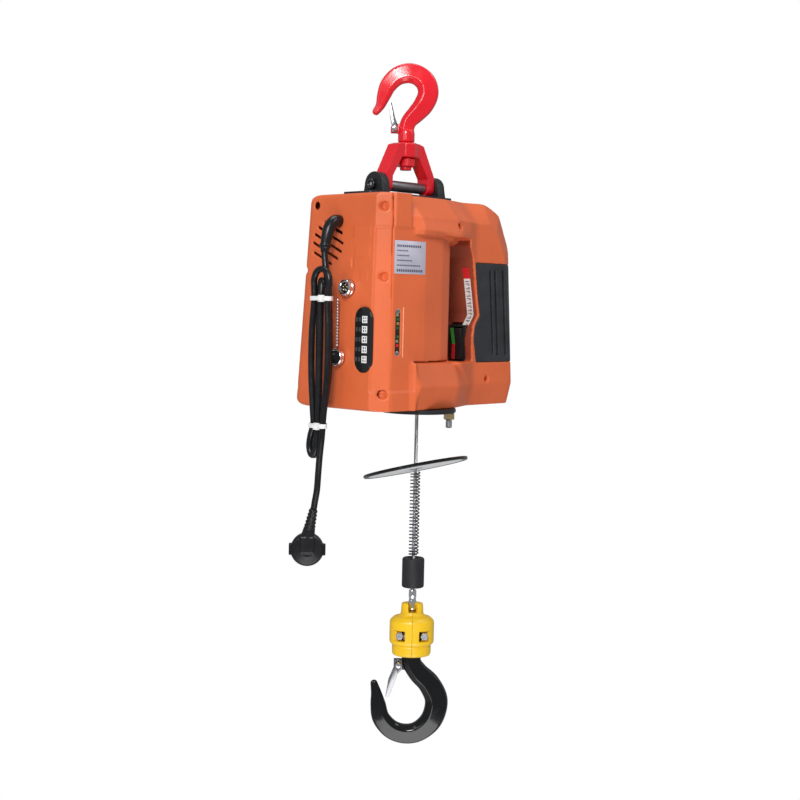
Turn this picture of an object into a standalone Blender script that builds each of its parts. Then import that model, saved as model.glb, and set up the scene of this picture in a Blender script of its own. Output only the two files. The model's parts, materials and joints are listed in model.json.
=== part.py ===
"""Electric wire rope hoist: a portable drum hoist that hangs from a red swivel hook.

The origin is the seat of the top hook. +Z is up, +X runs from the vented end of the casing to its
handle, and -Y is the front with the data plate. Lengths below are in millimetres until a mesh is made.
"""

import math

import bmesh
import bpy
from mathutils import Matrix, Vector

MM = 0.001
GAP = 0.3

# Driving dimensions
HOOK_TURN = math.radians(-45)  # both hooks lie in this vertical plane, turned from the casing's +X
TOP_PIVOT = (-14, -54.5)  # the top latch's pin: along the hook's plane, and Z
LOAD_PIVOT = (-15.5, -701.5)
PIN_Z = -124
EAR_IN = 42.3
EAR_OUT = 54
CASE_TOP = -138
CASE_BOTTOM = -388
CASE_MIDDLE = -263
END_X = -103
BODY_WALL_X = 42
COVER_SPLIT_X = -86
SEAM_Y = -4
FRONT_Y = -68
REAR_Y = 72
WALL = 3
GRIP_TOP = -212
GRIP_BOTTOM = -334
GRIP_FRONT = -42
CORE_FRONT = -35
SWITCH_Y = (-35, -7)
ROPE_XY = (0, -28)
ROPE_R = 2.3
DRUM_YZ = (11, -262)
GEAR_MODULE = 2
DRUM_TEETH = 40
IDLER_TEETH = 15
PINION_TEETH = 8
GEAR_X = (21, 28)
PLUNGER_XY = (27.5, -55.5)
PLUNGER_TOP = -372
PLUNGER_TRAVEL = 6
VENT_YZ = (26.5, -195)
FLANGE_R = 47
HANK_X = (-136, -117.5)
HANK_YZ = (8, -336)
CORD_HOLE = (8, -170)
HANK_WIDTH = 38
CORD_R = 3.85
PLUG_CENTRE = (-127, 24, -554)
PLUG_AXIS = Vector((-1, -1, 0)).normalized()  # from the pins to the back of the plug
HOOK_U = Vector((math.cos(HOOK_TURN), math.sin(HOOK_TURN), 0))
HOOK_N = Vector((math.sin(HOOK_TURN), -math.cos(HOOK_TURN), 0))


def material(name, colour, roughness, metallic=0.0):
    made = bpy.data.materials.new(name)
    made.use_nodes = True
    shader = made.node_tree.nodes["Principled BSDF"]
    shader.inputs["Base Color"].default_value = (*colour, 1)
    shader.inputs["Roughness"].default_value = roughness
    shader.inputs["Metallic"].default_value = metallic
    return made


def make_object(name, mesh, mat, smooth=35):
    obj = bpy.data.objects.new(name, mesh)
    bpy.context.scene.collection.objects.link(obj)
    mesh.materials.append(mat)
    mesh.shade_smooth()
    mesh.set_sharp_from_angle(angle=math.radians(smooth))
    return obj


def from_bmesh(name, bm, mat):
    """Scales the millimetre mesh to metres, turns its faces outward and makes the object."""
    bmesh.ops.recalc_face_normals(bm, faces=bm.faces)
    bmesh.ops.scale(bm, vec=(MM, MM, MM), verts=bm.verts)
    mesh = bpy.data.meshes.new(name)
    bm.to_mesh(mesh)
    bm.free()
    return make_object(name, mesh, mat)


AXIS_PLACES = {
    "X": lambda a, b, h: (h, a, b),
    "Y": lambda a, b, h: (a, h, b),
    "Z": lambda a, b, h: (a, b, h),
}


def prism(name, outline, axis, low, high, mat):
    """An outline extruded along an axis: (Y, Z) for X, (X, Z) for Y and (X, Y) for Z."""
    bm = bmesh.new()
    place = AXIS_PLACES[axis]
    face = bm.faces.new([bm.verts.new(place(a, b, low)) for a, b in outline])
    moved = bmesh.ops.extrude_face_region(bm, geom=[face])["geom"]
    shift = Vector(place(0, 0, high - low))
    bmesh.ops.translate(bm, vec=shift, verts=[v for v in moved if isinstance(v, bmesh.types.BMVert)])
    return from_bmesh(name, bm, mat)


def hook_prism(name, outline, half_width, mat, centre=(0, 0)):
    """An outline in a hook's own plane, (along, Z), extruded equally to both sides of that plane."""
    obj = prism(name, outline, "Y", -half_width, half_width, mat)
    turn_about(obj, HOOK_TURN, centre)
    return obj


def turn_about(obj, angle, centre):
    shift = Matrix.Translation((centre[0] * MM, centre[1] * MM, 0))
    obj.data.transform(shift @ Matrix.Rotation(angle, 4, "Z"))


def block(name, low, high, mat):
    outline = [(low[0], low[1]), (high[0], low[1]), (high[0], high[1]), (low[0], high[1])]
    return prism(name, outline, "Z", low[2], high[2], mat)


def circle(centre, radius, steps=24, start=0.0, sweep=360.0):
    """Points round a circle, or along an arc when the sweep is less than a full turn."""
    count = steps if abs(sweep) >= 360 else steps + 1
    angles = [math.radians(start + sweep * i / steps) for i in range(count)]
    return [(centre[0] + radius * math.cos(a), centre[1] + radius * math.sin(a)) for a in angles]


def stadium(centre, width, height, steps=8):
    """An upright slot outline with round ends."""
    r = width / 2
    reach = height / 2 - r
    top = circle((centre[0], centre[1] + reach), r, steps, 0, 180)
    bottom = circle((centre[0], centre[1] - reach), r, steps, 180, 180)
    return top + bottom


def rounded(outline, steps=4):
    """Rounds each corner given as (a, b, radius), and keeps the others sharp."""
    points = []
    count = len(outline)
    for i, corner in enumerate(outline):
        here = Vector(corner[:2])
        radius = corner[2] if len(corner) > 2 else 0
        if not radius:
            points.append(tuple(here))
            continue
        back = (Vector(outline[i - 1][:2]) - here).normalized()
        on = (Vector(outline[(i + 1) % count][:2]) - here).normalized()
        half = back.angle(on) / 2
        start = here + back * (radius / math.tan(half))
        end = here + on * (radius / math.tan(half))
        middle = here + (back + on).normalized() * (radius / math.sin(half))
        first = start - middle
        swing = first.angle_signed(end - middle)
        for k in range(steps + 1):
            angle = -swing * k / steps
            turned = Matrix.Rotation(angle, 2) @ first
            points.append(tuple(middle + turned))
    return points


def lathe(name, profile, mat, centre=(0, 0), steps=24, axis=None, origin=None):
    """Turns a closed (radius, height) profile about Z, or about an axis through an origin."""
    bm = bmesh.new()
    rings = []
    for radius, height in profile:
        if radius < 0.001:
            rings.append([bm.verts.new((0, 0, height))])
        else:
            rings.append([bm.verts.new((x, y, height)) for x, y in circle((0, 0), radius, steps)])
    for i, ring in enumerate(rings):
        other = rings[(i + 1) % len(rings)]
        if len(ring) == 1 and len(other) == 1:
            continue
        for k in range(steps):
            n = (k + 1) % steps
            if len(ring) == 1:
                bm.faces.new([ring[0], other[k], other[n]])
            elif len(other) == 1:
                bm.faces.new([ring[k], ring[n], other[0]])
            else:
                bm.faces.new([ring[k], ring[n], other[n], other[k]])
    if axis is None:
        bmesh.ops.translate(bm, vec=(centre[0], centre[1], 0), verts=bm.verts)
    else:
        turn = Vector((0, 0, 1)).rotation_difference(Vector(axis)).to_matrix()
        bmesh.ops.transform(bm, matrix=turn.to_4x4(), verts=bm.verts)
        bmesh.ops.translate(bm, vec=origin, verts=bm.verts)
    return from_bmesh(name, bm, mat)


def rod(name, radius, low, high, mat, along="Z", centre=(0, 0), steps=24, bore=0.0):
    """A round bar or tube along X, Y or Z, centred on the other two coordinates."""
    outline = circle(centre, radius, steps)
    made = prism(name, outline, along, low, high, mat)
    if bore:
        hole = prism("cut", circle(centre, bore, steps), along, low - 1, high + 1, mat)
        cut(made, hole)
    return made


def combine(obj, others, operation):
    """Applies one Boolean for each of the other objects, and removes them."""
    for other in others:
        modifier = obj.modifiers.new("boolean", "BOOLEAN")
        modifier.operation = operation
        modifier.object = other
        graph = bpy.context.evaluated_depsgraph_get()
        mesh = bpy.data.meshes.new_from_object(obj.evaluated_get(graph))
        obj.modifiers.remove(modifier)
        kept = obj.data.materials[0]
        obj.data = mesh
        mesh.materials.clear()
        mesh.materials.append(kept)
        for polygon in mesh.polygons:
            polygon.material_index = 0
        bpy.data.objects.remove(other)
    obj.data.shade_smooth()
    obj.data.set_sharp_from_angle(angle=math.radians(35))
    return obj


def cut(obj, *cutters):
    return combine(obj, cutters, "DIFFERENCE")


def fuse(obj, *others):
    return combine(obj, others, "UNION")


def keep_inside(obj, *others):
    return combine(obj, others, "INTERSECT")


def copy_of(obj, name):
    other = obj.copy()
    other.data = obj.data.copy()
    other.name = name
    bpy.context.scene.collection.objects.link(other)
    return other


def spline_value(t, p, q, r, s):
    """Catmull-Rom between q and r."""
    square = 2 * p - 5 * q + 4 * r - s
    cube = 3 * q - p - 3 * r + s
    return 0.5 * (2 * q + (r - p) * t + square * t ** 2 + cube * t ** 3)


def smooth_path(points, count):
    """Catmull-Rom samples through points of any size, so a fourth value can carry a radius."""
    spans = len(points) - 1
    ends = [[2 * a - b for a, b in zip(points[0], points[1])]]
    tail = [[2 * a - b for a, b in zip(points[-1], points[-2])]]
    knots = ends + [list(p) for p in points] + tail
    samples = []
    for i in range(count + 1):
        place = spans * i / count
        span = min(int(place), spans - 1)
        t = place - span
        a, b, c, d = knots[span : span + 4]
        samples.append([spline_value(t, *values) for values in zip(a, b, c, d)])
    return samples


def tube(name, points, radius, mat, resolution=2, scales=None):
    """A round tube along points in millimetres, with its own radius scale at each point if given."""
    curve = bpy.data.curves.new(name, "CURVE")
    curve.dimensions = "3D"
    curve.bevel_depth = radius * MM
    curve.bevel_resolution = resolution
    curve.use_fill_caps = True
    spline = curve.splines.new("POLY")
    spline.points.add(len(points) - 1)
    for i, point in enumerate(points):
        spline.points[i].co = (*[c * MM for c in point[:3]], 1)
        spline.points[i].radius = scales[i] if scales else 1
    curve.materials.append(mat)
    obj = bpy.data.objects.new(name, curve)
    bpy.context.scene.collection.objects.link(obj)
    return obj


def meshed(obj):
    """The same object with its curve turned into a mesh whose end caps are joined to its sides."""
    graph = bpy.context.evaluated_depsgraph_get()
    mesh = bpy.data.meshes.new_from_object(obj.evaluated_get(graph))
    bm = bmesh.new()
    bm.from_mesh(mesh)
    bmesh.ops.remove_doubles(bm, verts=bm.verts, dist=1e-6)
    bmesh.ops.recalc_face_normals(bm, faces=bm.faces)
    bm.to_mesh(mesh)
    bm.free()
    name = obj.name
    mat = obj.data.materials[0]
    bpy.data.objects.remove(obj)
    mesh.materials.clear()
    return make_object(name, mesh, mat)


def forged_hook(name, stations, centre, mat, count=28):
    """A hook swept along (along, Z, radius) stations in the plane that both hooks lie in."""
    samples = smooth_path(stations, count)
    points = [(*(HOOK_U * u).xy, z) for u, z, _ in samples]
    placed = [(x + centre[0], y + centre[1], z) for x, y, z in points]
    return meshed(tube(name, placed, 1.0, mat, 3, [max(r, 1) for _, _, r in samples]))


def origin_to(obj, point):
    """Moves the object's origin to a point of its joint's axis and leaves its shape where it is."""
    place = Vector(point) * MM
    obj.data.transform(Matrix.Translation(-place))
    obj.location = place


def along_hook(u, z, n=0.0, centre=(0, 0)):
    place = HOOK_U * u + HOOK_N * n
    return (place.x + centre[0], place.y + centre[1], z)


# ---------------------------------------------------------------- top hook, bail and ears


def hook_pin(name, u, z, radius, half_length, mat, centre=(0, 0), head=0.0):
    """A pin across a hook's plane, with a flat head at its near end if a head radius is given."""
    profile = [(0, -half_length), (radius, -half_length), (radius, half_length), (0, half_length)]
    if head:
        profile = [(0, -half_length), (radius, -half_length), (radius, half_length - 1.5)]
        profile += [(head, half_length - 1.5), (head, half_length), (0, half_length)]
    return lathe(name, profile, mat, steps=20, axis=-HOOK_N, origin=along_hook(u, z, 0, centre))


def hex_nut(name, bore, corner, low, high, mat, centre=(0, 0)):
    """A hexagon nut on a vertical thread, with its bore left smooth."""
    nut = rod(name, corner, low, high, mat, centre=centre, steps=6)
    return cut(nut, rod("bore", bore, low - 1, high + 1, mat, centre=centre))


def make_top_hook():
    bowl = [(0, -62, 9.2), (0, -54, 9.2), (3, -45, 9.6), (12, -35, 11), (20, -25, 12.2), (25, -12, 12.5)]
    bowl += [(22, 1, 12.4), (12, 9.5, 12), (0, 11.8, 11.8), (-13, 7.5, 11), (-23, -4, 10)]
    bowl += [(-28, -17, 8), (-32, -28, 5.6), (-35, -36, 4)]
    hook = forged_hook("top_hook", bowl, (0, 0), RED)
    collar = rod("collar", 10, -70.7, -56, RED)
    shank = rod("shank", 7, -104, -60, RED)
    lug = hook_prism("lug", [(-18.5, -60), (-3, -63), (-3, -45), (-17, -49)], 2.5, RED)
    fuse(hook, collar, shank, lug)
    cut(hook, hook_pin("bore", *TOP_PIVOT, 2.3, 8, RED))
    hex_nut("top_hook_nut", 7.3, 11, -100, -89.5, RED)
    hook_pin("top_latch_pin", *TOP_PIVOT, 2, 6.5, CHROME)
    outline = [(-18, -59), (-10.4, -59), (-10.4, -51), (-14, -42), (-18.5, -24)]
    outline += [(-22, -23.5), (-20, -40), (-18, -50)]
    latch = hook_prism("top_hook_latch", outline, 5, CHROME)
    slot = hook_prism("slot", [(-25, -65), (0, -65), (0, -44), (-25, -44)], 3, CHROME)
    cut(latch, slot, hook_pin("bore", *TOP_PIVOT, 2.3, 8, CHROME))
    origin_to(latch, along_hook(*TOP_PIVOT))


def make_bail():
    half = [(0, -71.6), (14, -71.6), (22, -74), (41.5, -110), (41.5, -136)]
    half += [(30.5, -136), (30.5, -113), (15, -89), (0, -89)]
    outline = half + [(-x, z) for x, z in reversed(half[1:-1])]
    bail = prism("bail", outline, "Y", -20, 20, RED)
    side = [(9, -60), (-9, -60)] + circle((0, PIN_Z), 9, 12, 180, 180)
    keep_inside(bail, prism("side", side, "X", -60, 60, RED))
    boss = rod("boss", 12, -89.2, -71.2, RED)
    fuse(bail, boss)
    cut(bail, rod("bore", 7.3, -95, -65, RED), rod("bore", 4.4, -60, 60, RED, "X", (0, PIN_Z)))
    origin_to(bail, (0, 0, -80))


def make_ears():
    rod("bail_roller", 6.5, -30.1, 30.1, STEEL, "X", (0, PIN_Z), bore=4.4)
    rod("bail_pin", 4, -48, 48, STEEL, "X", (0, PIN_Z))
    for name, side in (("near", -1), ("far", 1)):
        outline = circle((0, PIN_Z), 15, 16, 0, 180) + [(-17, -134), (17, -134)]
        faces = sorted((side * EAR_IN, side * EAR_OUT))
        ear = prism(f"ear_{name}", outline, "X", *faces, BLACK_METAL)
        cut(ear, rod("bore", 4.3, -70, 70, BLACK_METAL, "X", (0, PIN_Z)))
        make_ear_bolt(f"ear_bolt_{name}", side)
    plate = [(-82, -24, 5), (60, -24, 5), (60, 24, 5), (-82, 24, 5)]
    prism("top_plate", rounded(plate, 3), "Z", -137.2, -134.3, BLACK_METAL)


def make_ear_bolt(name, side):
    """A socket head cap screw in the end of the bail pin's bore."""
    head_in = EAR_OUT + GAP
    head_out = EAR_OUT + 6
    profile = [(0, 48.5), (3.6, 48.5), (3.6, head_in), (6.2, head_in), (6.2, head_out), (0, head_out)]
    bolt = lathe(name, profile, STEEL, steps=20, axis=(side, 0, 0), origin=(0, 0, PIN_Z))
    socket = sorted((side * (head_out - 3.5), side * (head_out + 1)))
    cut(bolt, rod("socket", 3, *socket, STEEL, "X", (0, PIN_Z), steps=6))


# ---------------------------------------------------------------- casing


def taper(obj):
    """The casing spreads downward: its end leans out a little, and its back leans out more."""
    for vertex in obj.data.vertices:
        low = (CASE_MIDDLE - vertex.co.z / MM) / 125
        if vertex.co.x < 0:
            vertex.co.x *= 1 + 0.03 * low
        if vertex.co.y > SEAM_Y * MM:
            vertex.co.y += (vertex.co.y - SEAM_Y * MM) * 0.1 * low


def casing_front():
    """The whole casing with its handle, as (X, Z)."""
    corners = [(END_X, CASE_TOP, 5), (112, CASE_TOP, 30), (140, -150, 20), (164, -196, 20), (168, -212)]
    corners += [(182, -334), (187, -374, 14), (173, CASE_BOTTOM, 16), (END_X, CASE_BOTTOM, 5)]
    return rounded(corners)


def casing_plan():
    """The casing seen from above, as (X, Y): the arms stand out from the front and run back to the handle."""
    corners = [(END_X, -52), (COVER_SPLIT_X, FRONT_Y), (-54, FRONT_Y), (-43, -75), (28, -71, 20)]
    corners += [(80, -46, 30), (160, GRIP_FRONT, 20), (190, -20), (190, 12), (178, 24, 12), (112, 30, 15)]
    corners += [(60, 68, 20), (END_X, REAR_Y, 12)]
    return rounded(corners, 3)


def hand_gap():
    """The hole for the hand, whose edge by the handle swells where the switch sits."""
    corners = [(BODY_WALL_X, -186, 4), (60, -192, 10), (72, -205, 8), (78.5, -228, 10), (84, -257, 10)]
    corners += [(88, -276, 5), (78, -289, 5), (74, -306, 8), (77, -333, 4), (BODY_WALL_X, -333, 6)]
    return rounded(corners, 3)


def grip_core(spare):
    """The part of the handle that the rubber grip wraps, made larger or smaller by the spare."""
    top, bottom = GRIP_TOP + 5, GRIP_BOTTOM - 5
    corners = [(60, top), (161 + spare, top), (176 + spare, bottom), (60, bottom)]
    core = prism("core", corners, "Y", -60, 60, ORANGE)
    front, back = CORE_FRONT - spare, 19 + spare
    plan = [(50, front), (156 + spare / 2, front), (186 + spare / 2, front + 22), (200, back), (50, back)]
    keep_inside(core, prism("plan", plan, "Z", -400, -120, ORANGE))
    return core


def grip_region(spare):
    """The stretch of handle that the grip fills, with the wavy inner edge of the grip."""
    top, bottom = GRIP_TOP + spare, GRIP_BOTTOM - spare
    corners = [(80 - spare, top), (230, top), (230, bottom), (87 - spare, bottom), (80 - spare, -306, 8)]
    corners += [(82 - spare, -290, 5), (92 - spare, -277, 5), (88 - spare, -258, 8), (82.5 - spare, -230, 8)]
    return prism("region", rounded(corners), "Y", -90, 90, RUBBER)


def make_casing():
    """Builds the whole casing once, then parts it into the end cover, the two shells and the grip."""
    whole = prism("whole", casing_front(), "Y", -90, 90, ORANGE)
    keep_inside(whole, prism("plan", casing_plan(), "Z", -400, -120, ORANGE))
    panel = [(-60, -90), (-54, FRONT_Y), (-30, FRONT_Y), (4, -66), (24, -60), (36, -50), (43, -34)]
    panel += [(60, -34), (60, -90)]
    recess = prism("recess", rounded(panel), "Z", -332, -184, ORANGE)
    cut(whole, recess, prism("gap", hand_gap(), "Y", -100, 100, ORANGE))
    keep_inside(whole, rear_section("section", 0))
    grip = copy_of(whole, "grip")
    hollow_body(whole)
    taper(whole)
    taper(grip)
    keep_inside(grip, grip_region(0))
    cut(grip, grip_core(GAP))
    set_material(grip, RUBBER)
    channel = grip_region(GAP)
    cut(channel, grip_core(0))
    cut(whole, channel)
    make_cutouts(whole)
    far = 400
    cover = copy_of(whole, "end_cover")
    keep_inside(cover, block("half", (-far, -far, -far), (COVER_SPLIT_X - GAP, far, 0), ORANGE))
    front = copy_of(whole, "front_shell")
    keep_inside(front, block("half", (COVER_SPLIT_X, -far, -far), (far, SEAM_Y - GAP, 0), ORANGE))
    rear = copy_of(whole, "rear_shell")
    keep_inside(rear, block("half", (COVER_SPLIT_X, SEAM_Y, -far), (far, far, 0), ORANGE))
    bpy.data.objects.remove(whole)


def rear_section(name, inset):
    """The casing's end view, whose two rear corners are round."""
    rear, top, bottom = REAR_Y - inset, CASE_TOP - inset, CASE_BOTTOM + inset
    radius = 22 - inset
    corners = [(-90, bottom), (rear, bottom, radius), (rear, top, radius), (-90, top)]
    return prism(name, rounded(corners, 5), "X", -130, 200, ORANGE)


def set_material(obj, mat):
    obj.data.materials.clear()
    obj.data.materials.append(mat)


def hollow_body(whole):
    """The main cavity, and a wiring space in the upper arm and the handle that opens at the seam."""
    front_in = FRONT_Y + WALL
    rear_in = REAR_Y - 5
    inner_x = BODY_WALL_X - 4
    edge = [(END_X + WALL, -48.5), (COVER_SPLIT_X - 1, front_in), (2, -63), (21, -57), (32, -48)]
    edge += [(inner_x, -33), (inner_x, rear_in), (END_X + WALL, rear_in)]
    cavity = prism("cavity", edge, "Z", CASE_BOTTOM + WALL, CASE_TOP - WALL, ORANGE)
    keep_inside(cavity, rear_section("section", WALL))
    wiring = [(104, -205), (150, -205), (168, -345), (110, -345)]
    cut(whole, cavity, prism("wiring", wiring, "Y", -24, 9, ORANGE))


def vent_slots():
    """Slanted cooling slots inside a round field beside the fan."""
    field_r = 26.5
    step = 9.8
    lean = Matrix.Rotation(math.radians(-65), 2)
    slots = []
    for i in range(-2, 3):
        reach = math.sqrt(field_r ** 2 - (step * i) ** 2)
        outline = stadium((step * i, 0), 2.8, 2 * reach, 4)
        points = [lean @ Vector(p) + Vector(VENT_YZ) for p in outline]
        slots.append(prism("slot", points, "X", -130, -80, ORANGE))
    return slots


def make_cutouts(whole):
    """Holes for the rope, the limit switch, the cord, the connector, the windows and the rocker."""
    rope_hole = rod("hole", 18.3, -400, -370, ORANGE, centre=ROPE_XY)
    plunger_hole = rod("hole", 4.4, -400, PLUNGER_TOP + PLUNGER_TRAVEL + 3, ORANGE, centre=PLUNGER_XY)
    cord_hole = rod("hole", 6, -130, -80, ORANGE, "X", CORD_HOLE)
    plug_hole = rod("hole", 8.3, -130, -80, ORANGE, "X", (-13, -247))
    window = prism("window", stadium((-40, -306), 27.6, 75.6), "X", -130, -101.6, ORANGE)
    slot = prism("slot", stadium((-75, -297), 8, 54), "Y", -90, -60, ORANGE)
    low_y, high_y = SWITCH_Y
    rocker = block("rocker", (60, low_y - GAP, -337 - GAP), (86 + GAP, high_y + GAP, -286 + GAP), ORANGE)
    cut(whole, rope_hole, plunger_hole, cord_hole, plug_hole, window, slot, rocker, *vent_slots())


def make_switch():
    """The raise and lower rocker in its frame, on the inner side of the handle."""
    low_y, high_y = SWITCH_Y
    side = 5
    outline = [(77, -289), (86, -286), (86, -337), (78, -334.5), (74.5, -306)]
    frame = prism("switch_frame", outline, "Y", low_y, high_y, BLACK)
    cut(frame, block("well", (50, low_y + side, -333), (84, high_y - side, -291), BLACK))
    outline = [(72.5, -292.5), (76.5, -312), (76.2, -331.5), (82, -331), (83, -312), (81, -292.8)]
    rocker = prism("rocker", outline, "Y", low_y + side + 0.5, high_y - side - 0.5, GREEN)
    origin_to(rocker, (80, (low_y + high_y) / 2, -312))


def make_end_fittings():
    """The level window, the remote control connector and its chained cap, on the end cover."""
    prism("window_panel", stadium((-40, -306), 27, 75), "X", -105.8, -101.9, BLACK)
    ring = [(5.9, -5), (8, -5), (8, 5.5), (10, 5.5), (10, 13), (9, 14), (5.9, 14)]
    lathe("connector_shell", ring, CHROME, axis=(-1, 0, 0), origin=(-98, -13, -247))
    rod("connector_insert", 5.6, -108, -94, BLACK, "X", (-13, -247))
    pivot = (-110, -2, -262)
    links = tube("cap_chain", [(pivot[0], pivot[1], z) for z in (-261, -290, -317)], 1.4, CHROME, 2)
    origin = [(0, 0), (9, 0), (10, 1), (10, 7), (8.2, 7), (8.2, 2.5), (0, 2.5)]
    cap = lathe("dust_cap", origin, CHROME, axis=(-1, 0, 0), origin=(-106.3, -2, -327.5))
    origin_to(meshed(links), pivot)
    origin_to(cap, pivot)


# ---------------------------------------------------------------- works inside the casing


def gear_outline(teeth, centre, first_tooth):
    """A spur gear of straight-sided teeth, as (Y, Z), with one tooth at the given angle in degrees."""
    pitch = GEAR_MODULE * teeth / 2
    outline = []
    for i in range(teeth):
        middle = first_tooth + 360 * i / teeth
        step = 360 / teeth
        for share, radius in ((-0.3, -1.2), (-0.12, 0.85), (0.12, 0.85), (0.3, -1.2)):
            angle = math.radians(middle + step * share)
            reach = pitch + radius * GEAR_MODULE
            outline.append((centre[0] + reach * math.cos(angle), centre[1] + reach * math.sin(angle)))
    return outline


def make_drum():
    y, z = DRUM_YZ
    spool = [(8.3, -36), (44, -36), (44, -32.5), (28, -32.5), (28, 16.5), (44, 16.5), (44, 20), (8.3, 20)]
    lathe("drum", spool, STEEL, axis=(1, 0, 0), origin=(0, y, z))
    turns = 10
    step = 2 * ROPE_R
    wound = [(28 + GAP, -32.5 + GAP)]
    for i in range(turns):
        left = -31.9 + i * step
        wound += [(34.6, left), (36, left + step / 2)]
    wound += [(28 + GAP, -32.5 + 0.6 + turns * step)]
    lathe("rope_winding", wound, ROPE, axis=(1, 0, 0), origin=(0, y, z))
    rod("drum_axle", 8, -42.2, 33.2, STEEL, "X", DRUM_YZ)
    gear = prism("drum_gear", gear_outline(DRUM_TEETH, DRUM_YZ, -90), "X", *GEAR_X, STEEL)
    cut(gear, rod("bore", 8.3, 0, 60, STEEL, "X", DRUM_YZ))
    for name in ("drum", "rope_winding", "drum_gear"):
        origin_to(bpy.data.objects[name], (0, y, z))


def idler_centre():
    reach = GEAR_MODULE * (DRUM_TEETH + IDLER_TEETH) / 2
    return (DRUM_YZ[0], DRUM_YZ[1] - reach)


def motor_centre():
    y, z = idler_centre()
    return (y, z - GEAR_MODULE * (IDLER_TEETH + PINION_TEETH) / 2)


def make_gear_train():
    idler = idler_centre()
    gear = prism("idler_gear", gear_outline(IDLER_TEETH, idler, 90 + 180 / IDLER_TEETH), "X", *GEAR_X, STEEL)
    cut(gear, rod("bore", 4.3, 0, 60, STEEL, "X", idler))
    origin_to(gear, (0, *idler))


def make_motor():
    motor = motor_centre()
    case = rod("motor_case", 30, -82, -26, BLACK_METAL, "X", motor, 24)
    inside = rod("inside", 25, -78, -30, BLACK_METAL, "X", motor, 24)
    cut(case, inside, rod("bore", 5, -90, 0, BLACK_METAL, "X", motor))
    pinion = gear_outline(PINION_TEETH, motor, 90 + 180 / PINION_TEETH)
    rotor = prism("motor_rotor", pinion, "X", *GEAR_X, COPPER)
    fuse(rotor, rod("shaft", 4, -95, 34, COPPER, "X", motor), rod("core", 21, -72, -36, COPPER, "X", motor))
    origin_to(rotor, (0, *motor))
    make_fan(motor)


def make_fan(motor):
    fan = rod("cooling_fan", 8, -93, -84, BLACK, "X", motor)
    blades = 7
    for i in range(blades):
        blade = block("blade", (-92, -1.2, 6), (-85, 1.2, 26), BLACK)
        turn = Matrix.Rotation(2 * math.pi * i / blades, 4, "X")
        shift = Matrix.Translation((0, motor[0] * MM, motor[1] * MM))
        blade.data.transform(shift @ turn)
        fuse(fan, blade)
    cut(fan, rod("bore", 4.3, -100, -70, BLACK, "X", motor))
    origin_to(fan, (0, *motor))


def make_frame():
    """Two side plates that carry the drum, and hang from the top plate."""
    for name, low, high in (("frame_plate_left", -42.5, -38.5), ("frame_plate_right", 29.5, 33.5)):
        plate = block(name, (low, -22, -376), (high, 46, -144), STEEL)
        holes = [rod("bore", 8.3, low - 2, high + 2, STEEL, "X", DRUM_YZ)]
        if low < 0:
            holes.append(rod("bore", 30.4, low - 2, high + 2, STEEL, "X", motor_centre()))
        else:
            fuse(plate, rod("idler_pin", 4, 20.5, high - 1, STEEL, "X", idler_centre()))
            holes.append(rod("bore", 4.4, low - 2, high + 2, STEEL, "X", motor_centre()))
        cut(plate, *holes)


def make_electrics():
    board = block("control_board", (-82, -64, -345), (-48, -62, -232), GREEN)
    for low, high in (((-80, -62.5, -260), (-66, -52, -240)), ((-62, -62.5, -300), (-50, -50, -282))):
        fuse(board, block("component", low, high, GREEN))


# ---------------------------------------------------------------- rope exit and limit switch


def make_rope_exit():
    top = CASE_BOTTOM - GAP
    profile = [(6, -394), (44, -394), (FLANGE_R, -392.5), (FLANGE_R, top), (18, top), (18, -380), (6, -380)]
    flange = lathe("rope_flange", profile, BLACK_METAL, ROPE_XY, 36)
    cut(flange, rod("hole", 4.4, -400, -370, BLACK_METAL, centre=PLUNGER_XY))
    bush = [(2.9, -396), (7.5, -396), (7.5, -394.3), (5.7, -394.3), (5.7, -378), (2.9, -378)]
    lathe("rope_guide", bush, BRASS, ROPE_XY, 24)
    hex_nut("limit_nut", 4.3, 6.6, -402, -394.4, BRASS, PLUNGER_XY)
    plunger = rod("limit_plunger", 3.9, -412, PLUNGER_TOP, STEEL, centre=PLUNGER_XY)
    origin_to(plunger, (*PLUNGER_XY, -390))


def make_rope():
    points = [(*ROPE_XY, z) for z in (-609.5, -500, -400, -320, DRUM_YZ[1])]
    tube("wire_rope", points, ROPE_R, ROPE, 2)


def make_limit_plate():
    """The round plate that pushes the plunger. It sits on the spring, tipped in the hooks' plane."""
    profile = [(7.5, -2), (62, -2), (64, -0.5), (64, 2), (7.5, 2)]
    plate = lathe("limit_plate", profile, BLACK, steps=36)
    tip = Matrix.Rotation(math.radians(12), 4, HOOK_N)
    plate.data.transform(Matrix.Translation((0, 0, -461 * MM)) @ tip)
    plate.data.transform(Matrix.Translation((ROPE_XY[0] * MM, ROPE_XY[1] * MM, 0)))
    origin_to(plate, (*ROPE_XY, -461))


def make_spring():
    turns = 22
    per_turn = 8
    low, high = -569, -465.5
    points = []
    for i in range(turns * per_turn + 1):
        angle = 2 * math.pi * i / per_turn
        height = low + (high - low) * i / (turns * per_turn)
        points.append((ROPE_XY[0] + 5.3 * math.cos(angle), ROPE_XY[1] + 5.3 * math.sin(angle), height))
    tube("limit_spring", points, 0.9, STEEL, 1)


def make_bumper():
    profile = [(2.8, -607), (12.5, -607), (13.5, -605.5), (13.5, -572), (12.5, -570.5), (2.8, -570.5)]
    lathe("bumper", profile, RUBBER, ROPE_XY)
    lathe("rope_ferrule", [(0, -634), (4.6, -634), (4.6, -610), (0, -610)], STEEL, ROPE_XY, 20)


# ---------------------------------------------------------------- load hook and its cover


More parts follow.
